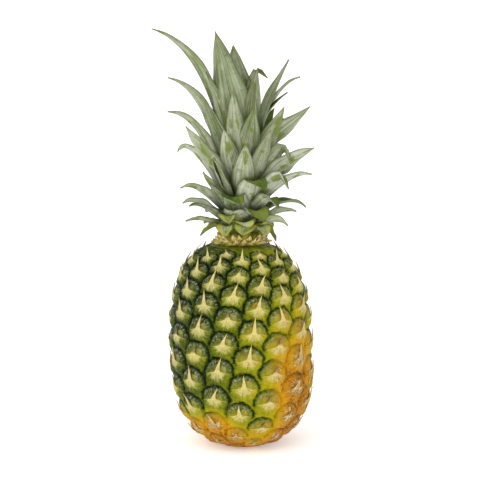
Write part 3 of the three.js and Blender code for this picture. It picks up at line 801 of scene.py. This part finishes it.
class Rind(Finish):
    # What the skin and the bracts share: fields read from the mesh, and grain in several sizes.
    def __init__(self, name, specular):
        super().__init__(name, specular, rindColours)
        self.spot = self.place()
        self.x, self.y, self.seed = self.read("eyeX"), self.read("eyeY"), self.read("eyeDraw")
        self.share, self.away = self.read("share"), self.read("away")
        self.fleck, self.patchy = self.grain("fleck"), self.grain("patchy")
        self.ripe = self.read("ripe") + (self.grain("ripe") - 0.5) * 0.30
        # Fibres run out from a spot just above each bract's wings.
        drop = 3.0 - self.y
        self.angle = self.sum("ARCTAN2", self.x, drop)
        self.far = (self.x * self.x + drop * drop) ** 0.5
        fibres = self.vector(self.angle * 5.5, self.far * 0.16, self.seed * 9)
        self.fibre = self.noise(fibres, 1.0, 4.0, 0.65)
        streaks = self.vector(self.angle * 9.0, self.far * 0.1, self.seed * 5 + 2)
        self.streak = self.noise(streaks, 1.0, 3.0, 0.6)

    def grain(self, name):
        return self.noise(self.spot, *rindGrain[name])

    def tint(self, name, ripe=None):
        return self.ramp(ripe or self.ripe, name)

    def body(self):
        # Yellow-green skin with a pale star on it: two wings, and fibres that fan down from the spine.
        ripe, fibre, streak, far = self.ripe, self.fibre, self.streak, self.far
        x, y, wings = abs(self.x), self.y, self.tint("wing")
        self.colour = self.tint("tissue", ripe + (self.patchy - 0.5) * 0.3)
        low = self.ease(y, -7.5, -1.0) * self.fade(self.share, 0.75, 1.0)
        self.coat(low * self.ease(fibre, 0.25, 0.7) * 0.75, wings)
        wing = y + self.ease(x, 0.5, 11.0, 4.8, 0.2) + (fibre - 0.5) * 5.0
        wing = self.ease(wing, -1.2, 2.4) * self.fade(x, 3.5, 11.5) * self.ease(ripe, 0.6, 0.9, 1.0, 0.8)
        middle = self.fade(far, 4.0, 16.0)
        inward = self.fade(abs(self.angle), 0.4, 1.6)
        cream = fibre * 1.2 + middle * inward * 0.8 + self.ease(ripe, 0.6, 0.85) * 0.22
        star = 1.0 - (1.0 - wing) * (1.0 - self.ease(cream, 0.78, 1.34))
        streaky = self.ease(streak + middle * 0.12, 0.34, 0.6, 0.35, 1.0)
        pale = self.mix(self.ease(far, 5.0, 12.0), self.tint("cream"), wings)
        self.coat(star * streaky * 0.9, pale)
        self.coat(self.ease(streak, 0.5, 0.66) * middle * inward * 0.75, "pale")
        gap = self.fade(streak, 0.3, 0.44) * self.ease(far, 5.0, 8.0)
        self.coat(gap * 0.55, self.tint("tissue", ripe - 0.1))
        # dark broken bits about the spine's foot in the shade colours: broken tissue with painted shadow
        # among it, more of them where the fruit is ripe
        broken = streak * 0.6 + self.fleck * 0.4 - self.ease(ripe, 0.55, 0.85) * 0.06
        bits = self.fade(broken, 0.38, 0.46) * self.fade(far, 5.0, 14.0)
        self.coat(bits * self.ease(ripe, 0.3, 0.75, 0.4, 0.95), self.tint("shade"))
        spot = self.fade(x, 0.5, 2.8) * self.fade(abs(y + 2.8), 0.3, 2.4)
        self.coat(spot * self.ease(streak, 0.46, 0.56) * 0.5, "mauve")

    def torn(self):
        # Buff shreds of dried tissue with brown edges, where the fruit is ripe.
        ripe = self.ease(self.ripe, 0.62, 0.84)
        shred = self.grain("shreds") + self.ease(self.far, 2.0, 11.0, 0.09, -0.05)
        buff = self.mix(self.ease(self.fibre, 0.35, 0.65), "shred", "paleShred")
        self.coat(self.ease(shred, 0.57, 0.6, 0.0, 0.85) * ripe, buff)
        self.coat(self.fade(abs(shred - 0.56), 0.0, 0.018, 0.95) * ripe, "brown")

    def mottled(self):
        # Small darker and lighter flecks all over, as on any waxy skin.
        mottle = self.grain("mottle")
        self.coat(self.fade(mottle, 0.34, 0.47, 0.42), self.tint("tissue", self.ripe - 0.2))
        self.coat(self.ease(mottle, 0.54, 0.66, 0.0, 0.34), self.tint("wing", self.ripe + 0.12))

    def grooved(self):
        # A soft dark border along each groove, and a darker line in its middle.
        wander = (self.patchy - 0.5) * 0.2 + (self.grain("wander") - 0.5) * 0.16
        groove, green = self.tint("groove"), self.ease(self.ripe, 0.6, 0.85, 1.0, 0.5)
        self.coat(self.fade(self.away, 0.05, 0.28, 0.42) * green, groove)
        self.coat(self.fade(self.away + wander, 0.03, 0.13, 0.97) * green, groove)

    def cracked(self):
        # Brown scars and cracks, nearly all of them where the fruit is ripe.
        ripe, patchy = self.ripe, self.patchy
        crack = self.fade(abs(self.grain("cracks") - 0.5), 0.0, 0.016) * self.ease(patchy, 0.45, 0.6)
        crack = crack * self.ease(ripe, 0.5, 0.75, 0.15, 0.85)
        specks = self.ease(self.fleck, 0.52, 0.64) * self.ease(ripe, 0.6, 0.8)
        self.coat(specks * 0.5, "gold")
        scar = self.ease(patchy + ripe * 0.2, 0.8, 0.86)
        self.coat(1.0 - (1.0 - crack) * (1.0 - scar * 0.7), "brown")

    def weathered(self):
        self.mottled()
        self.torn()
        self.grooved()


def makeSkinFinish():
    paint = Rind("rindSkin", 0.08)
    x, y, share, ripe, above = paint.x, paint.y, paint.share, paint.ripe, paint.read("above")
    fleck, patchy = paint.fleck, paint.patchy
    paint.colour = paint.tint("dome", ripe + (patchy - 0.5) * 0.2)
    turn = paint.sum("ARCTAN2", x, y)
    grain = paint.noise(paint.vector(turn * 6.5, share * 2.5, paint.seed * 7), 1.0, 4.0, 0.7)
    # light broken streaks just inside the arch, partly the waxy bloom and partly painted sheen, then a dark
    # line of painted shade round the inner lobes
    green = paint.ease(ripe, 0.55, 0.78, 1.0, 0.15)
    streaks = paint.fade(abs(share - 0.8), 0.0, 0.15) * paint.ease(grain, 0.48, 0.62) * green
    paint.coat(streaks * 0.9, "bloomAndSheen")
    # painted shade: the dark line lies in the crease round the raised lobes
    lobe = paint.fade(abs(share - 0.64 + (grain - 0.5) * 0.12), 0.015, 0.06)
    paint.coat(lobe * green * 0.4, paint.tint("shade"))
    # flecks of the waxy bloom, partly painted sheen
    flecks = paint.ease(fleck, 0.5, 0.62) * paint.ease(patchy, 0.4, 0.54)
    paint.coat(flecks * green * 0.6, "bloomAndSheen")
    # a painted highlight each side of the spine, the right one stronger: a pale patch of painted sheen on the
    # dome
    aside, up = abs(x) - 4.2, y - 2.8
    near = aside * aside + up * up * 0.7 + (paint.grain("blur") - 0.5) * 16.0
    near = paint.fade(near, 2.0, 18.0) * paint.ease(grain + fleck * 0.5, 0.5, 0.8)
    near = near * paint.ease(x * (0.6 + paint.seed), -4.0, 4.0, 0.12, 1.0) * green
    paint.coat(near * 0.8, "patch")
    warm = paint.ease(patchy + ripe * 0.35, 0.74, 0.8) * paint.fade(share, 0.45, 0.7)
    paint.coat(warm * 0.8, "orange")
    pits = paint.ease(paint.grain("pits"), 0.66, 0.7) * paint.fade(share, 0.5, 0.75)
    paint.coat(pits * 0.85, "brown")
    paint.coat(paint.fade(y + (grain - 0.5) * 9.0, 1.0, 7.5, 0.55), paint.tint("tissue"))
    # the bract's pale tissue runs a little way up the dome in broken streaks
    fringe = paint.fade(above + (grain - 0.5) * 5.0, 0.2, 2.2) * paint.fade(abs(x), 4.0, 11.0)
    paint.coat(fringe * 0.75, paint.tint("wing"))
    inside = paint.fade(share, 0.93, 1.0) * paint.ease(above, -0.3, 0.1)
    dome = paint.colour
    paint.body()
    paint.coat(inside, dome)
    paint.weathered()
    # painted brown shadow in the crevices about the foot of each spine where the fruit is ripe
    creviceShadow = paint.fade(paint.far, 4.0, 11.0) * paint.ease(grain * 0.7 + fleck * 0.3, 0.5, 0.58)
    paint.coat(creviceShadow * paint.ease(ripe, 0.5, 0.8, 0.0, 0.8), "brown")
    paint.cracked()
    paint.finishWith(0.42 + patchy * 0.3, fleck * 0.3 + patchy * 0.6 + grain * 0.3, 0.0012, 0.9)
    return paint


def makeBractFinish():
    paint = Rind("bractSkin", 0.06)
    fibre, patchy, below, spine = paint.fibre, paint.patchy, paint.read("below"), paint.read("spine")
    spineColour = paint.tint("spine")
    rim = paint.fade(below + (fibre - 0.5) * 1.2, 0.1, 1.0) * paint.fade(abs(paint.x), 5.0, 12.5)
    paint.body()
    paint.coat(rim * 0.35, spineColour)
    core = paint.fade(paint.far + (fibre - 0.5) * 3, 2.0, 4.5)
    paint.coat(core * 0.8, spineColour)
    grained = paint.mix(paint.fade(fibre, 0.35, 0.6, 0.5), spineColour, paint.tint("wing"))
    paint.coat(paint.ease(spine, 0.04, 0.2), grained)
    flank = paint.fade(below, 0.0, 0.5) * paint.ease(spine, 0.1, 0.3)
    paint.coat(flank * 0.35, "mauve")
    dry = paint.ease(spine * 0.8 + paint.read("dry") * 0.45 + patchy * 0.4, 0.95, 1.15)
    paint.coat(dry * 0.65, "brown")
    # painted shade: the underside of each bract is browned, as spines seen edge-on lie in shade
    paint.coat(paint.read("under") * 0.5, "brown")
    paint.weathered()
    paint.cracked()
    paint.finishWith(0.5 + patchy * 0.25, fibre * 0.9 + paint.fleck * 0.2, 0.0006, 0.8)
    return paint


stem = {
    "bottom": 195.0,
    "bottomRadius": 22.0,
    "topRadius": 11.0,
    "height": 74.0,
    "tipHeight": 96.0,
    "tipRadius": 3.0,
    "inside": 1.5,            # how much slimmer it is than the ring of leaf roots
    "footBevel": 4.0,
    "tipBevel": 1.5,
    "flutes": 8,
    "fluteDepth": 0.03,
    "turns": 48,
}

leaves = {
    "count": 66,
    "skirt": 9,
    "skirtStep": 0.2,
    "divergence": -137.5,
    "firstAzimuth": 20.0,
    "lowestRoot": 2.8,
    "highestRoot": 72.0,
    "rootDepth": 4.0,
    "crowding": 1.25,
    "lowRootWidth": 0.95,
    "highRootWidth": 0.55,
    "widestPlace": 0.3,
    "lowTaper": 2.7,
    "highTaper": 1.4,
    "foldedTaper": 3.2,       # leaves whose ends fold over are blunter
    "channel": 0.2,
    "ripple": 0.9,
    "calming": 0.5,           # how much less the innermost leaves vary
    "rootThickness": 2.6,
    "tipThickness": 1.2,
    "rows": 28,
    "halfColumns": 6,
}

leafShapes = {
    "place": [0.00, 0.12, 0.28, 0.45, 0.60, 0.75, 0.90, 1.00],
    "reach": [35, 43, 52, 56, 55, 42, 24, 8],
    "height": [197, 206, 230, 266, 298, 322, 334, 334],
    "launch": [52, 54, 46, 34, 32, 22, 11, 3],
    "finish": [132, 124, 108, 76, 58, 38, 22, 9],
    "width": [19, 20, 21, 22, 22, 22, 20, 16],
}

leafVariation = {"reach": 5, "height": 7, "launch": 4, "finish": 14, "azimuth": 5, "roll": 16}
leafDrawKinds = {"reach": 21, "height": 22, "launch": 23, "finish": 24, "azimuth": 25, "roll": 26,
                 "ripple": 31, "grain": 32}

wornLeaves = (3, 11, 17, 22, 24, 25)  # the scuffed and darker ones

# Leaves that stand out from the rule, by their place in the spiral. A fold is the share of the
# length at which it comes, and the end's angle from upright and turn to one side.
oddLeafKeys = ("azimuth", "reach", "height", "launch", "finish", "width", "roll", "fold")
oddLeaves = {
    -8: (45, 33, 204, 60, 64, 18, 0, (0.46, 150, 16)),
    -5: (8, 33, 206, 54, 56, 22, -8, (0.5, 148, -20)),
    -2: (-31, 33, 205, 60, 60, 19, 6, (0.46, 150, 10)),
    0: (5, 36, 206, 38, 90, 22, 0, (0.7, 148, 45)),
    1: (-95, 37, 190, 52, 134, 16, 0),
    2: (98, 32, 185, 52, 150, 15, 0),
    3: (-22, 36, 216, 34, 50, 22, 8, (0.68, 142, 20)),
    5: (62, 47, 202, 62, 140, 16, -30),
    6: (-85, 50, 204, 76, 112, 14, 10),
    8: (-11, 37, 217, 32, 74, 24, 0),
    10: (84, 50, 213, 62, 104, 18, -16),
    11: (-62, 52, 220, 66, 112, 15, 0),
    12: (177, 46, 240, 34, 84, 25, 0),
    13: (27, 40, 219, 34, 66, 24, 0, (0.6, 150, 25)),
    14: (-96, 53, 219, 58, 122, 15, 24),
    15: (105, 61, 214, 50, 140, 16, 0),
    16: (-14, 38, 234, 28, 62, 25, 0, (0.68, 146, 52)),
    17: (-48, 36, 240, 22, 24, 15, 12),
    18: (52, 43, 232, 38, 66, 21, -14, (0.66, 148, 25)),
    19: (-74, 56, 235, 48, 118, 15, 24),
    21: (20, 41, 253, 24, 36, 24, 0, (0.72, 148, 48)),  # a tip folded over to the right
    22: (-62, 38, 250, 22, 20, 17, 5),
    23: (80, 64, 247, 46, 96, 18, -24),
    24: (-37, 40, 264, 30, 40, 15, -35),
    25: (-48, 34, 262, 14, 12, 15, -55),
    26: (56, 52, 256, 34, 44, 19, -24, (0.74, 148, 10)),
    27: (-100, 58, 265, 24, 150, 18, 30),
    29: (5, 46, 277, 24, 20, 21, 0),
    31: (76, 67, 271, 42, 66, 24, -42),
    32: (-60, 56, 291, 24, 32, 22, 24),
    34: (38, 42, 288, 22, 22, 19, -16),
    35: (-100, 67, 301, 26, 88, 21, 34),
    36: (70, 48, 284, 26, 36, 20, -24, (0.76, 146, 0)),
    37: (-21, 42, 290, 18, 18, 20, 14),
    39: (58, 45, 308, 18, 26, 23, -34),
    40: (-92, 65, 332, 18, 74, 22, 34),
    42: (-11, 38, 323, 14, 14, 23, 0),
    44: (96, 38, 296, 24, 30, 20, -20),
    45: (-44, 46, 316, 14, 22, 19, 26),
    47: (16, 40, 308, 16, 18, 25, -8),
    48: (-100, 81, 375, 10, 72, 28, 30),  # the long arching leaf
    49: (125, 66, 331, 14, 80, 19, -30),
    50: (-34, 40, 374, 8, 17, 46, 0),  # the tallest, facing forward
    52: (72, 64, 308, 26, 44, 24, -42),
    53: (-62, 35, 338, 10, 26, 24, 16),
    54: (70, 17, 350, 4, 14, 26, 0, (0.88, 125, 20)),  # hooked tip
    57: (98, 43, 348, 14, 26, 25, -30),
    59: (-26, 16, 362, -2, 8, 44, 8),
    60: (34, 26, 342, 8, 14, 25, -16),
    62: (114, 46, 318, 16, 60, 12, 0),
}


def bezier(points, share):
    a, b, c, d = [np.array(p, dtype=float) for p in points]
    t = share[:, None]
    spot = a * (1 - t) ** 3 + 3 * b * t * (1 - t) ** 2 + 3 * c * t * t * (1 - t) + d * t ** 3
    slope = 3 * (b - a) * (1 - t) ** 2 + 6 * (c - b) * t * (1 - t) + 3 * (d - c) * t * t
    return spot, unit(slope)


def heading(angle):
    # Outwards and up, for an angle from upright.
    return np.array([math.sin(math.radians(angle)), math.cos(math.radians(angle))])


def bentCurve(root, tip, launch, finish):
    root, tip = np.array(root, dtype=float), np.array(tip, dtype=float)
    pull = np.linalg.norm(tip - root) / 3
    return root, root + heading(launch) * pull, tip - heading(finish) * pull, tip


def folded(spot, slope, along, fold, length):
    # Past the fold the blade runs straight on, at its own angle from upright and turned to one side.
    at, angle, sway = fold
    past = np.maximum(along - at, 0)[:, None] * length
    sway = math.radians(sway)
    crease = np.array([np.interp(at, along, spot[:, k]) for k in (0, 1)])
    bent = crease + heading(angle) * past * math.cos(sway)
    share = ease(along, at - 0.04, at + 0.04)[:, None]
    spot = np.where((along > at)[:, None], bent, spot)
    return spot, unit(lerp(slope, heading(angle), share)), past[:, 0] * math.sin(sway)


blades = {
    "rowCrowding": 1.25,      # rows lie closer together towards the tip
    "channelPower": 1.5,
    "ripplePace": 17,
    "rippleWidth": 12,
    "rollStart": 2,           # the roll is all there at half the length
    "edgePower": 2.5,
    "edgeThickness": 0.12,
}


def bladeSheets(azimuth, curve, width, thickness, channel, roll, rows, halfColumns, ripple, phase, fold=None):
    # Upper and lower faces of a gutter-shaped blade, and each point's place along and across it.
    along = 1 - (1 - np.linspace(0, 1, rows)) ** blades["rowCrowding"]
    across = np.linspace(-1, 1, 2 * halfColumns + 1)
    spot, slope = bezier(curve, along)
    aside = np.zeros(rows)
    if fold:
        length = np.sum(np.linalg.norm(np.diff(spot, axis=0), axis=1))
        spot, slope, aside = folded(spot, slope, along, fold, length)
    sideways = around(azimuth + math.pi / 2, 1.0, 0.0)
    middle = around(azimuth, spot[:, 0], spot[:, 1]) + sideways * aside[:, None]
    inward = around(azimuth, -slope[:, 1], slope[:, 0])
    turn = (roll * np.minimum(1, along * blades["rollStart"]))[:, None]
    side = sideways * np.cos(turn) + inward * np.sin(turn)
    upper = inward * np.cos(turn) - sideways * np.sin(turn)
    halfWidth = width(along)[:, None] / 2
    lift = channel * 2 * halfWidth * np.abs(across) ** blades["channelPower"]
    wave = ripple * np.sin(along * blades["ripplePace"] + phase)[:, None]
    lift = lift + wave * across * np.abs(across) * halfWidth / blades["rippleWidth"]
    thick = thickness(along)[:, None] / 2 * (1 - np.abs(across) ** blades["edgePower"])
    thick = thick + blades["edgeThickness"]
    base = middle[:, None] + side[:, None] * (across * halfWidth)[..., None]
    top, bottom = [base + upper[:, None] * level[..., None] for level in (lift + thick, lift - thick)]
    grid = np.broadcast_to(along[:, None], top.shape[:2]), np.broadcast_to(across, top.shape[:2])
    return top, bottom, grid


def leafShape(index):
    place = max(0.0, index / (leaves["count"] - 1))
    shape = {key: float(np.interp(place, leafShapes["place"], leafShapes[key])) for key in leafShapes}
    draws = drawEach(index, leafDrawKinds)
    for key in ("reach", "height", "launch", "finish"):
        shape[key] += leafVariation[key] * draws[key] * (1 - leaves["calming"] * place)
    shape["azimuth"] = leaves["firstAzimuth"] + index * leaves["divergence"]
    shape["azimuth"] += leafVariation["azimuth"] * draws["azimuth"]
    shape["roll"] = leafVariation["roll"] * draws["roll"]
    shape["ripple"], shape["grain"] = 9 * draws["ripple"], draws["grain"]
    shape.update(zip(oddLeafKeys, oddLeaves.get(index, ())))
    return shape


def leafWidth(shape):
    rootWidth = lerp(leaves["lowRootWidth"], leaves["highRootWidth"], min(1, 2 * shape["place"]))
    widest = leaves["widestPlace"]
    taper = lerp(leaves["lowTaper"], leaves["highTaper"], shape["place"])
    if "fold" in shape:
        taper = leaves["foldedTaper"]

    def width(share):
        opening = lerp(rootWidth, 1, np.sin(math.pi / 2 * np.clip(share / widest, 0, 1)))
        closing = 1 - np.clip((share - widest) / (1 - widest), 0, 1) ** taper
        return shape["width"] * np.where(share < widest, opening, closing)
    return width


def makeCrown(finish):
    sheaf = Sheaf()
    for index in range(-leaves["skirt"], leaves["count"]):
        shape = leafShape(index)
        rise = lerp(leaves["lowestRoot"], leaves["highestRoot"], shape["place"] ** leaves["crowding"])
        rise += leaves["skirtStep"] * min(0, index)
        stemRadius = lerp(stem["bottomRadius"], stem["topRadius"], rise / stem["height"])
        root = (stemRadius - leaves["rootDepth"], stem["bottom"] + rise)
        curve = bentCurve(root, (shape["reach"], shape["height"]), shape["launch"], shape["finish"])
        top, bottom, (along, across) = bladeSheets(
            math.radians(shape["azimuth"]), curve, leafWidth(shape),
            lambda share: lerp(leaves["rootThickness"], leaves["tipThickness"], share),
            leaves["channel"], math.radians(shape["roll"]), leaves["rows"], leaves["halfColumns"],
            leaves["ripple"], shape["ripple"], shape.get("fold"))
        sheaf.addSlab(top[:, ::-1], bottom[:, ::-1], {
            "leafAlong": along, "leafAcross": across[:, ::-1], "leafBack": (0.0, 1.0),
            "leafPlace": shape["place"], "leafDraw": shape["grain"], "leafWorn": index in wornLeaves,
        })
    sheaf.piece("crownLeaves", "leaf", "crown", finish)


def makeStem(finish):
    inside, tip = stem["inside"], stem["tipHeight"]
    bottomRadius = stem["bottomRadius"] - inside
    profile = [(nearAxis, 0.0), (bottomRadius - inside, 0.0), (bottomRadius, stem["footBevel"]),
               (stem["topRadius"] - inside, stem["height"]), (stem["tipRadius"], tip - stem["tipBevel"]),
               (nearAxis, tip)]
    points, faces = turnedForm(
        profile, stem["turns"], stem["bottom"],
        lambda radius, direction: radius * (1 + stem["fluteDepth"] * np.sin(direction * stem["flutes"])))
    sheaf = Sheaf()
    plain = dict.fromkeys(("leafAlong", "leafAcross", "leafPlace", "leafDraw", "leafWorn"), 0.0)
    sheaf.add(points, faces, {**plain, "leafBack": 1.0})
    sheaf.piece("crownStem", "leaf", None, finish)


leafColours = {
    "back": [(0.34, "#56633c"), (0.43, "#858f6b"), (0.54, "#a9af94"), (0.68, "#cacfbc")],
    "face": [(0.25, "#2c3c10"), (0.5, "#485c16"), (0.72, "#6c7a2c")],
    "rubbed": "#6c7c26",
    "young": "#aaa92e",
    "tip": "#6e6a24",
    "edge": "#4c5a24",
    "dark": "#39442a",
    # painted shade between the leaves and at their roots
    "root": "#333f1a",
}


def makeLeafFinish():
    paint = Finish("leafSkin", 0.2, leafColours)
    along, across, worn = paint.read("leafAlong"), paint.read("leafAcross"), paint.read("leafWorn")
    back, height, seed = paint.read("leafBack"), paint.read("leafPlace"), paint.read("leafDraw")
    outward = abs(across)
    # grain in lengthwise lines, faint cross marks, and slow clouds
    wide = paint.noise(paint.vector(across * 7, along * 1.2, seed * 11), 1.0, 4.0, 0.7)
    lines = paint.noise(paint.vector(across * 30, along * 2.4, seed * 11), 1.0, 3.0, 0.65)
    marks = paint.noise(paint.vector(across * 2.4, along * 34, seed * 7 + 3), 1.0, 3.0, 0.6)
    cloud = paint.noise(paint.place(), 55.0, 4.0, 0.6)
    blot = paint.noise(paint.vector(across * 1.1 + seed * 9, along * 5, seed * 5), 1.0, 2.0, 0.5)
    # higher leaves are painted darker: painted shade that evens out the stronger light on the top of the
    # crown
    tone = wide * 0.55 + lines * 0.35 + cloud * 0.3 + seed * 0.06 - paint.ease(height, 0.4, 0.76, 0.05, 0.15)
    paint.colour = paint.ramp(tone, "back")
    paint.coat(paint.ease(marks, 0.6, 0.7) * 0.35, "dark")
    scratch = paint.ease(lines + marks * 0.3 + worn * 0.22, 0.8, 0.92)
    paint.coat(scratch * (0.5 + worn * 0.25), "dark")
    rubbed = paint.ease(blot + lines * 0.25 + seed * 0.03, 0.67, 0.75)
    paint.coat(rubbed * paint.ease(outward, 0.3, 0.9, 1.0, 0.4) * 0.9, "rubbed")
    # painted shade in the gaps between leaves, darker towards each root
    gap = paint.fade(along + (wide - 0.5) * 0.2, 0.06, 0.46)
    paint.coat(gap * 0.75, "root")
    face = paint.ramp(tone + (cloud - 0.5) * 0.6, "face")
    low = paint.fade(height + wide * 0.08, 0.05, 0.16)
    paint.colour = paint.mix(back + low * 0.75, face, paint.colour)
    yellow = paint.ease(outward + wide * 0.5 + along * 0.3, 0.7, 1.2)
    paint.coat(low * (0.12 + yellow * 0.7), "young")
    edge = paint.ease(outward + (wide - 0.5) * 0.3, 0.8, 1.0)
    paint.coat(edge * 0.75, "edge")
    tip = paint.ease(along + (lines - 0.5) * 0.1, 0.9, 1.0)
    paint.coat(tip * 0.7, "tip")
    # more painted shade towards the foot of each leaf
    foot = paint.fade(along, 0.05, 0.5)
    paint.coat(foot * 0.6, "root")
    paint.finishWith(0.5 + cloud * 0.2, wide * 0.5 + lines * 0.7 + marks * 0.2, 0.0006, 0.8)
    return paint


collar = {
    "gap": 0.35,
    "radius": 19.6,
    "topRadius": 18.0,
    "height": 11.8,
    "flutes": 12,
    "fluteDepth": 0.4,
    "turns": 72,
    "rows": [
        # bracts, root radius, root height, reach, tip height, width, launch, landing
        (13, 18.0, 1.6, 27.5, 3.4, 10.5, 78, 84),
        (17, 18.2, 2.2, 23.2, 7.8, 8.4, 50, 6),
        (16, 17.6, 5.1, 21.6, 10.7, 8.2, 50, 6),
    ],
    "taper": 0.8,
    "tipWidth": 0.15,
    "thickness": 1.6,
    "channel": 0.12,
    "ripple": 2.5,
    "variation": 0.6,
    "spacing": 0.25,          # how far they stray from even spacing
    "roll": 0.3,
    "lengthSteps": 12,
    "halfColumns": 4,
    "straw": [(0.32, "#9a8a2c"), (0.44, "#dfcc72"), (0.56, "#f6e69a"), (0.8, "#faeebc")],
    "core": [(0.4, "#6e6818"), (0.6, "#b8b03c")],
    "pink": "#c98f5c",
    "split": "#5c4c1a",
    "reddish": "#b0683a",
    "green": "#a9a828",
    "edge": "#84692e",
}


neckDrawKinds = {"turn": 11, "reach": 12, "height": 13, "roll": 14, "ripple": 15, "grain": 16}


def makeNeck(finish):
    bottom = fruit["height"] + collar["gap"]
    height = collar["height"]
    profile = [(nearAxis, 0.0), (collar["radius"], 0.0), (collar["topRadius"], height), (nearAxis, height)]

    def fluted(radius, direction):
        return radius - collar["fluteDepth"] * np.abs(np.sin(direction * collar["flutes"])) * (radius > 1)

    sheaf = Sheaf()
    points, faces = turnedForm(profile, collar["turns"], bottom, fluted)
    sheaf.add(points, faces, {"leafAlong": -0.2, "leafAcross": 0.0, "leafDraw": 0.0})
    for row, settings in enumerate(collar["rows"]):
        count, rootRadius, rootHeight, reach, tipHeight, width, launch, landing = settings
        for k in range(count):
            seed = k + 20 * row
            draws = drawEach(seed, neckDrawKinds)
            azimuth = math.radians(360 * (k + 0.5 * row + collar["spacing"] * draws["turn"]) / count)
            tip = (reach + collar["variation"] * draws["reach"],
                   bottom + tipHeight + collar["variation"] * draws["height"])
            top, under, (along, across) = bladeSheets(
                azimuth, bentCurve((rootRadius, bottom + rootHeight), tip, launch, landing),
                lambda share: width * (1 - share) ** collar["taper"] + collar["tipWidth"],
                lambda share: np.full(len(share), collar["thickness"]), collar["channel"],
                collar["roll"] * draws["roll"], collar["lengthSteps"], collar["halfColumns"],
                collar["ripple"], 7 * draws["ripple"])
            sheaf.addSlab(top[:, ::-1], under[:, ::-1], {
                "leafAlong": along, "leafAcross": across[:, ::-1], "leafDraw": draws["grain"]})
    sheaf.piece("neckBracts", "dry_bract", "neck_bracts", finish)


def makeNeckFinish():
    paint = Finish("dryBract", 0.1, collar)
    along, across, seed = paint.read("leafAlong"), paint.read("leafAcross"), paint.read("leafDraw")
    lines = paint.noise(paint.vector(across * 7, along * 1.5, seed * 13), 1.0, 4.0, 0.7)
    cloud = paint.noise(paint.place(), 130.0, 3.0, 0.55)
    paint.colour = paint.ramp(lines * 0.7 + cloud * 0.4 + seed * 0.06, "straw")
    paint.coat(paint.ease(seed + cloud, 0.85, 1.15) * 0.5, "pink")
    # dark gaps between long fibres, and a few reddish ones
    split = paint.noise(paint.vector(across * 3.2 + seed * 5, along * 1.3, seed * 17), 1.0, 3.0, 0.6)
    paint.coat(paint.fade(split, 0.4, 0.46, 0.7), "split")
    paint.coat(paint.fade(abs(split - 0.6), 0.0, 0.03, 0.55), "reddish")
    paint.coat(paint.fade(along + cloud * 0.4, 0.2, 0.6) * 0.6, "green")
    paint.coat(paint.ease(abs(across) + along * 0.4, 0.95, 1.2) * 0.6, "edge")
    paint.coat(paint.fade(along, -0.1, -0.05), paint.ramp(cloud, "core"))
    paint.finishWith(0.65 + cloud * 0.2, lines, 0.0005, 0.7)
    return paint


def makeStalk(finish):
    radius, bevel, height = stalk["radius"], stalk["bevel"], stalk["height"]
    flat = [(ring, 0.0) for ring in (nearAxis, *stalk["rings"], radius - bevel)]
    profile = flat + [(radius, bevel), (radius, height), (nearAxis, height)]

    def uneven(ringRadius, direction):
        coarse, fine = [1 + np.sin(direction * count) for count in stalk["waves"]]
        return ringRadius * (1 - stalk["unevenness"] * fine * coarse / 2)

    points, faces = turnedForm(profile, stalk["turns"], 0.0, uneven)
    makePiece("cutStalk", "cut_stalk", points + np.array([leanAt(0), 0, 0]), faces, finish)


def makeStalkFinish():
    paint = Finish("cutStalkFibre", 0.1, stalk)
    place = paint.place()
    fibre = paint.node("ShaderNodeTexVoronoi", {}, {"Vector": place, "Scale": 900.0})
    cloud = paint.noise(place, 160.0)
    paint.colour = paint.ramp(fibre * 0.7 + cloud * 0.5, "fibres")
    paint.finishWith(0.85, fibre, 0.0004, 0.8)
    return paint


makeCamera()
makeStudio()
bpy.context.scene.view_settings.view_transform = "Standard"
print("camera, floor and lights made")
makeFruitSkin(makeSkinFinish())
makeBracts(makeBractFinish())
print("fruit dressed")
leafFinish = makeLeafFinish()
makeCrown(leafFinish)
makeStem(leafFinish)
print("crown dressed")
makeNeck(makeNeckFinish())
makeStalk(makeStalkFinish())
print("neck and stalk dressed")
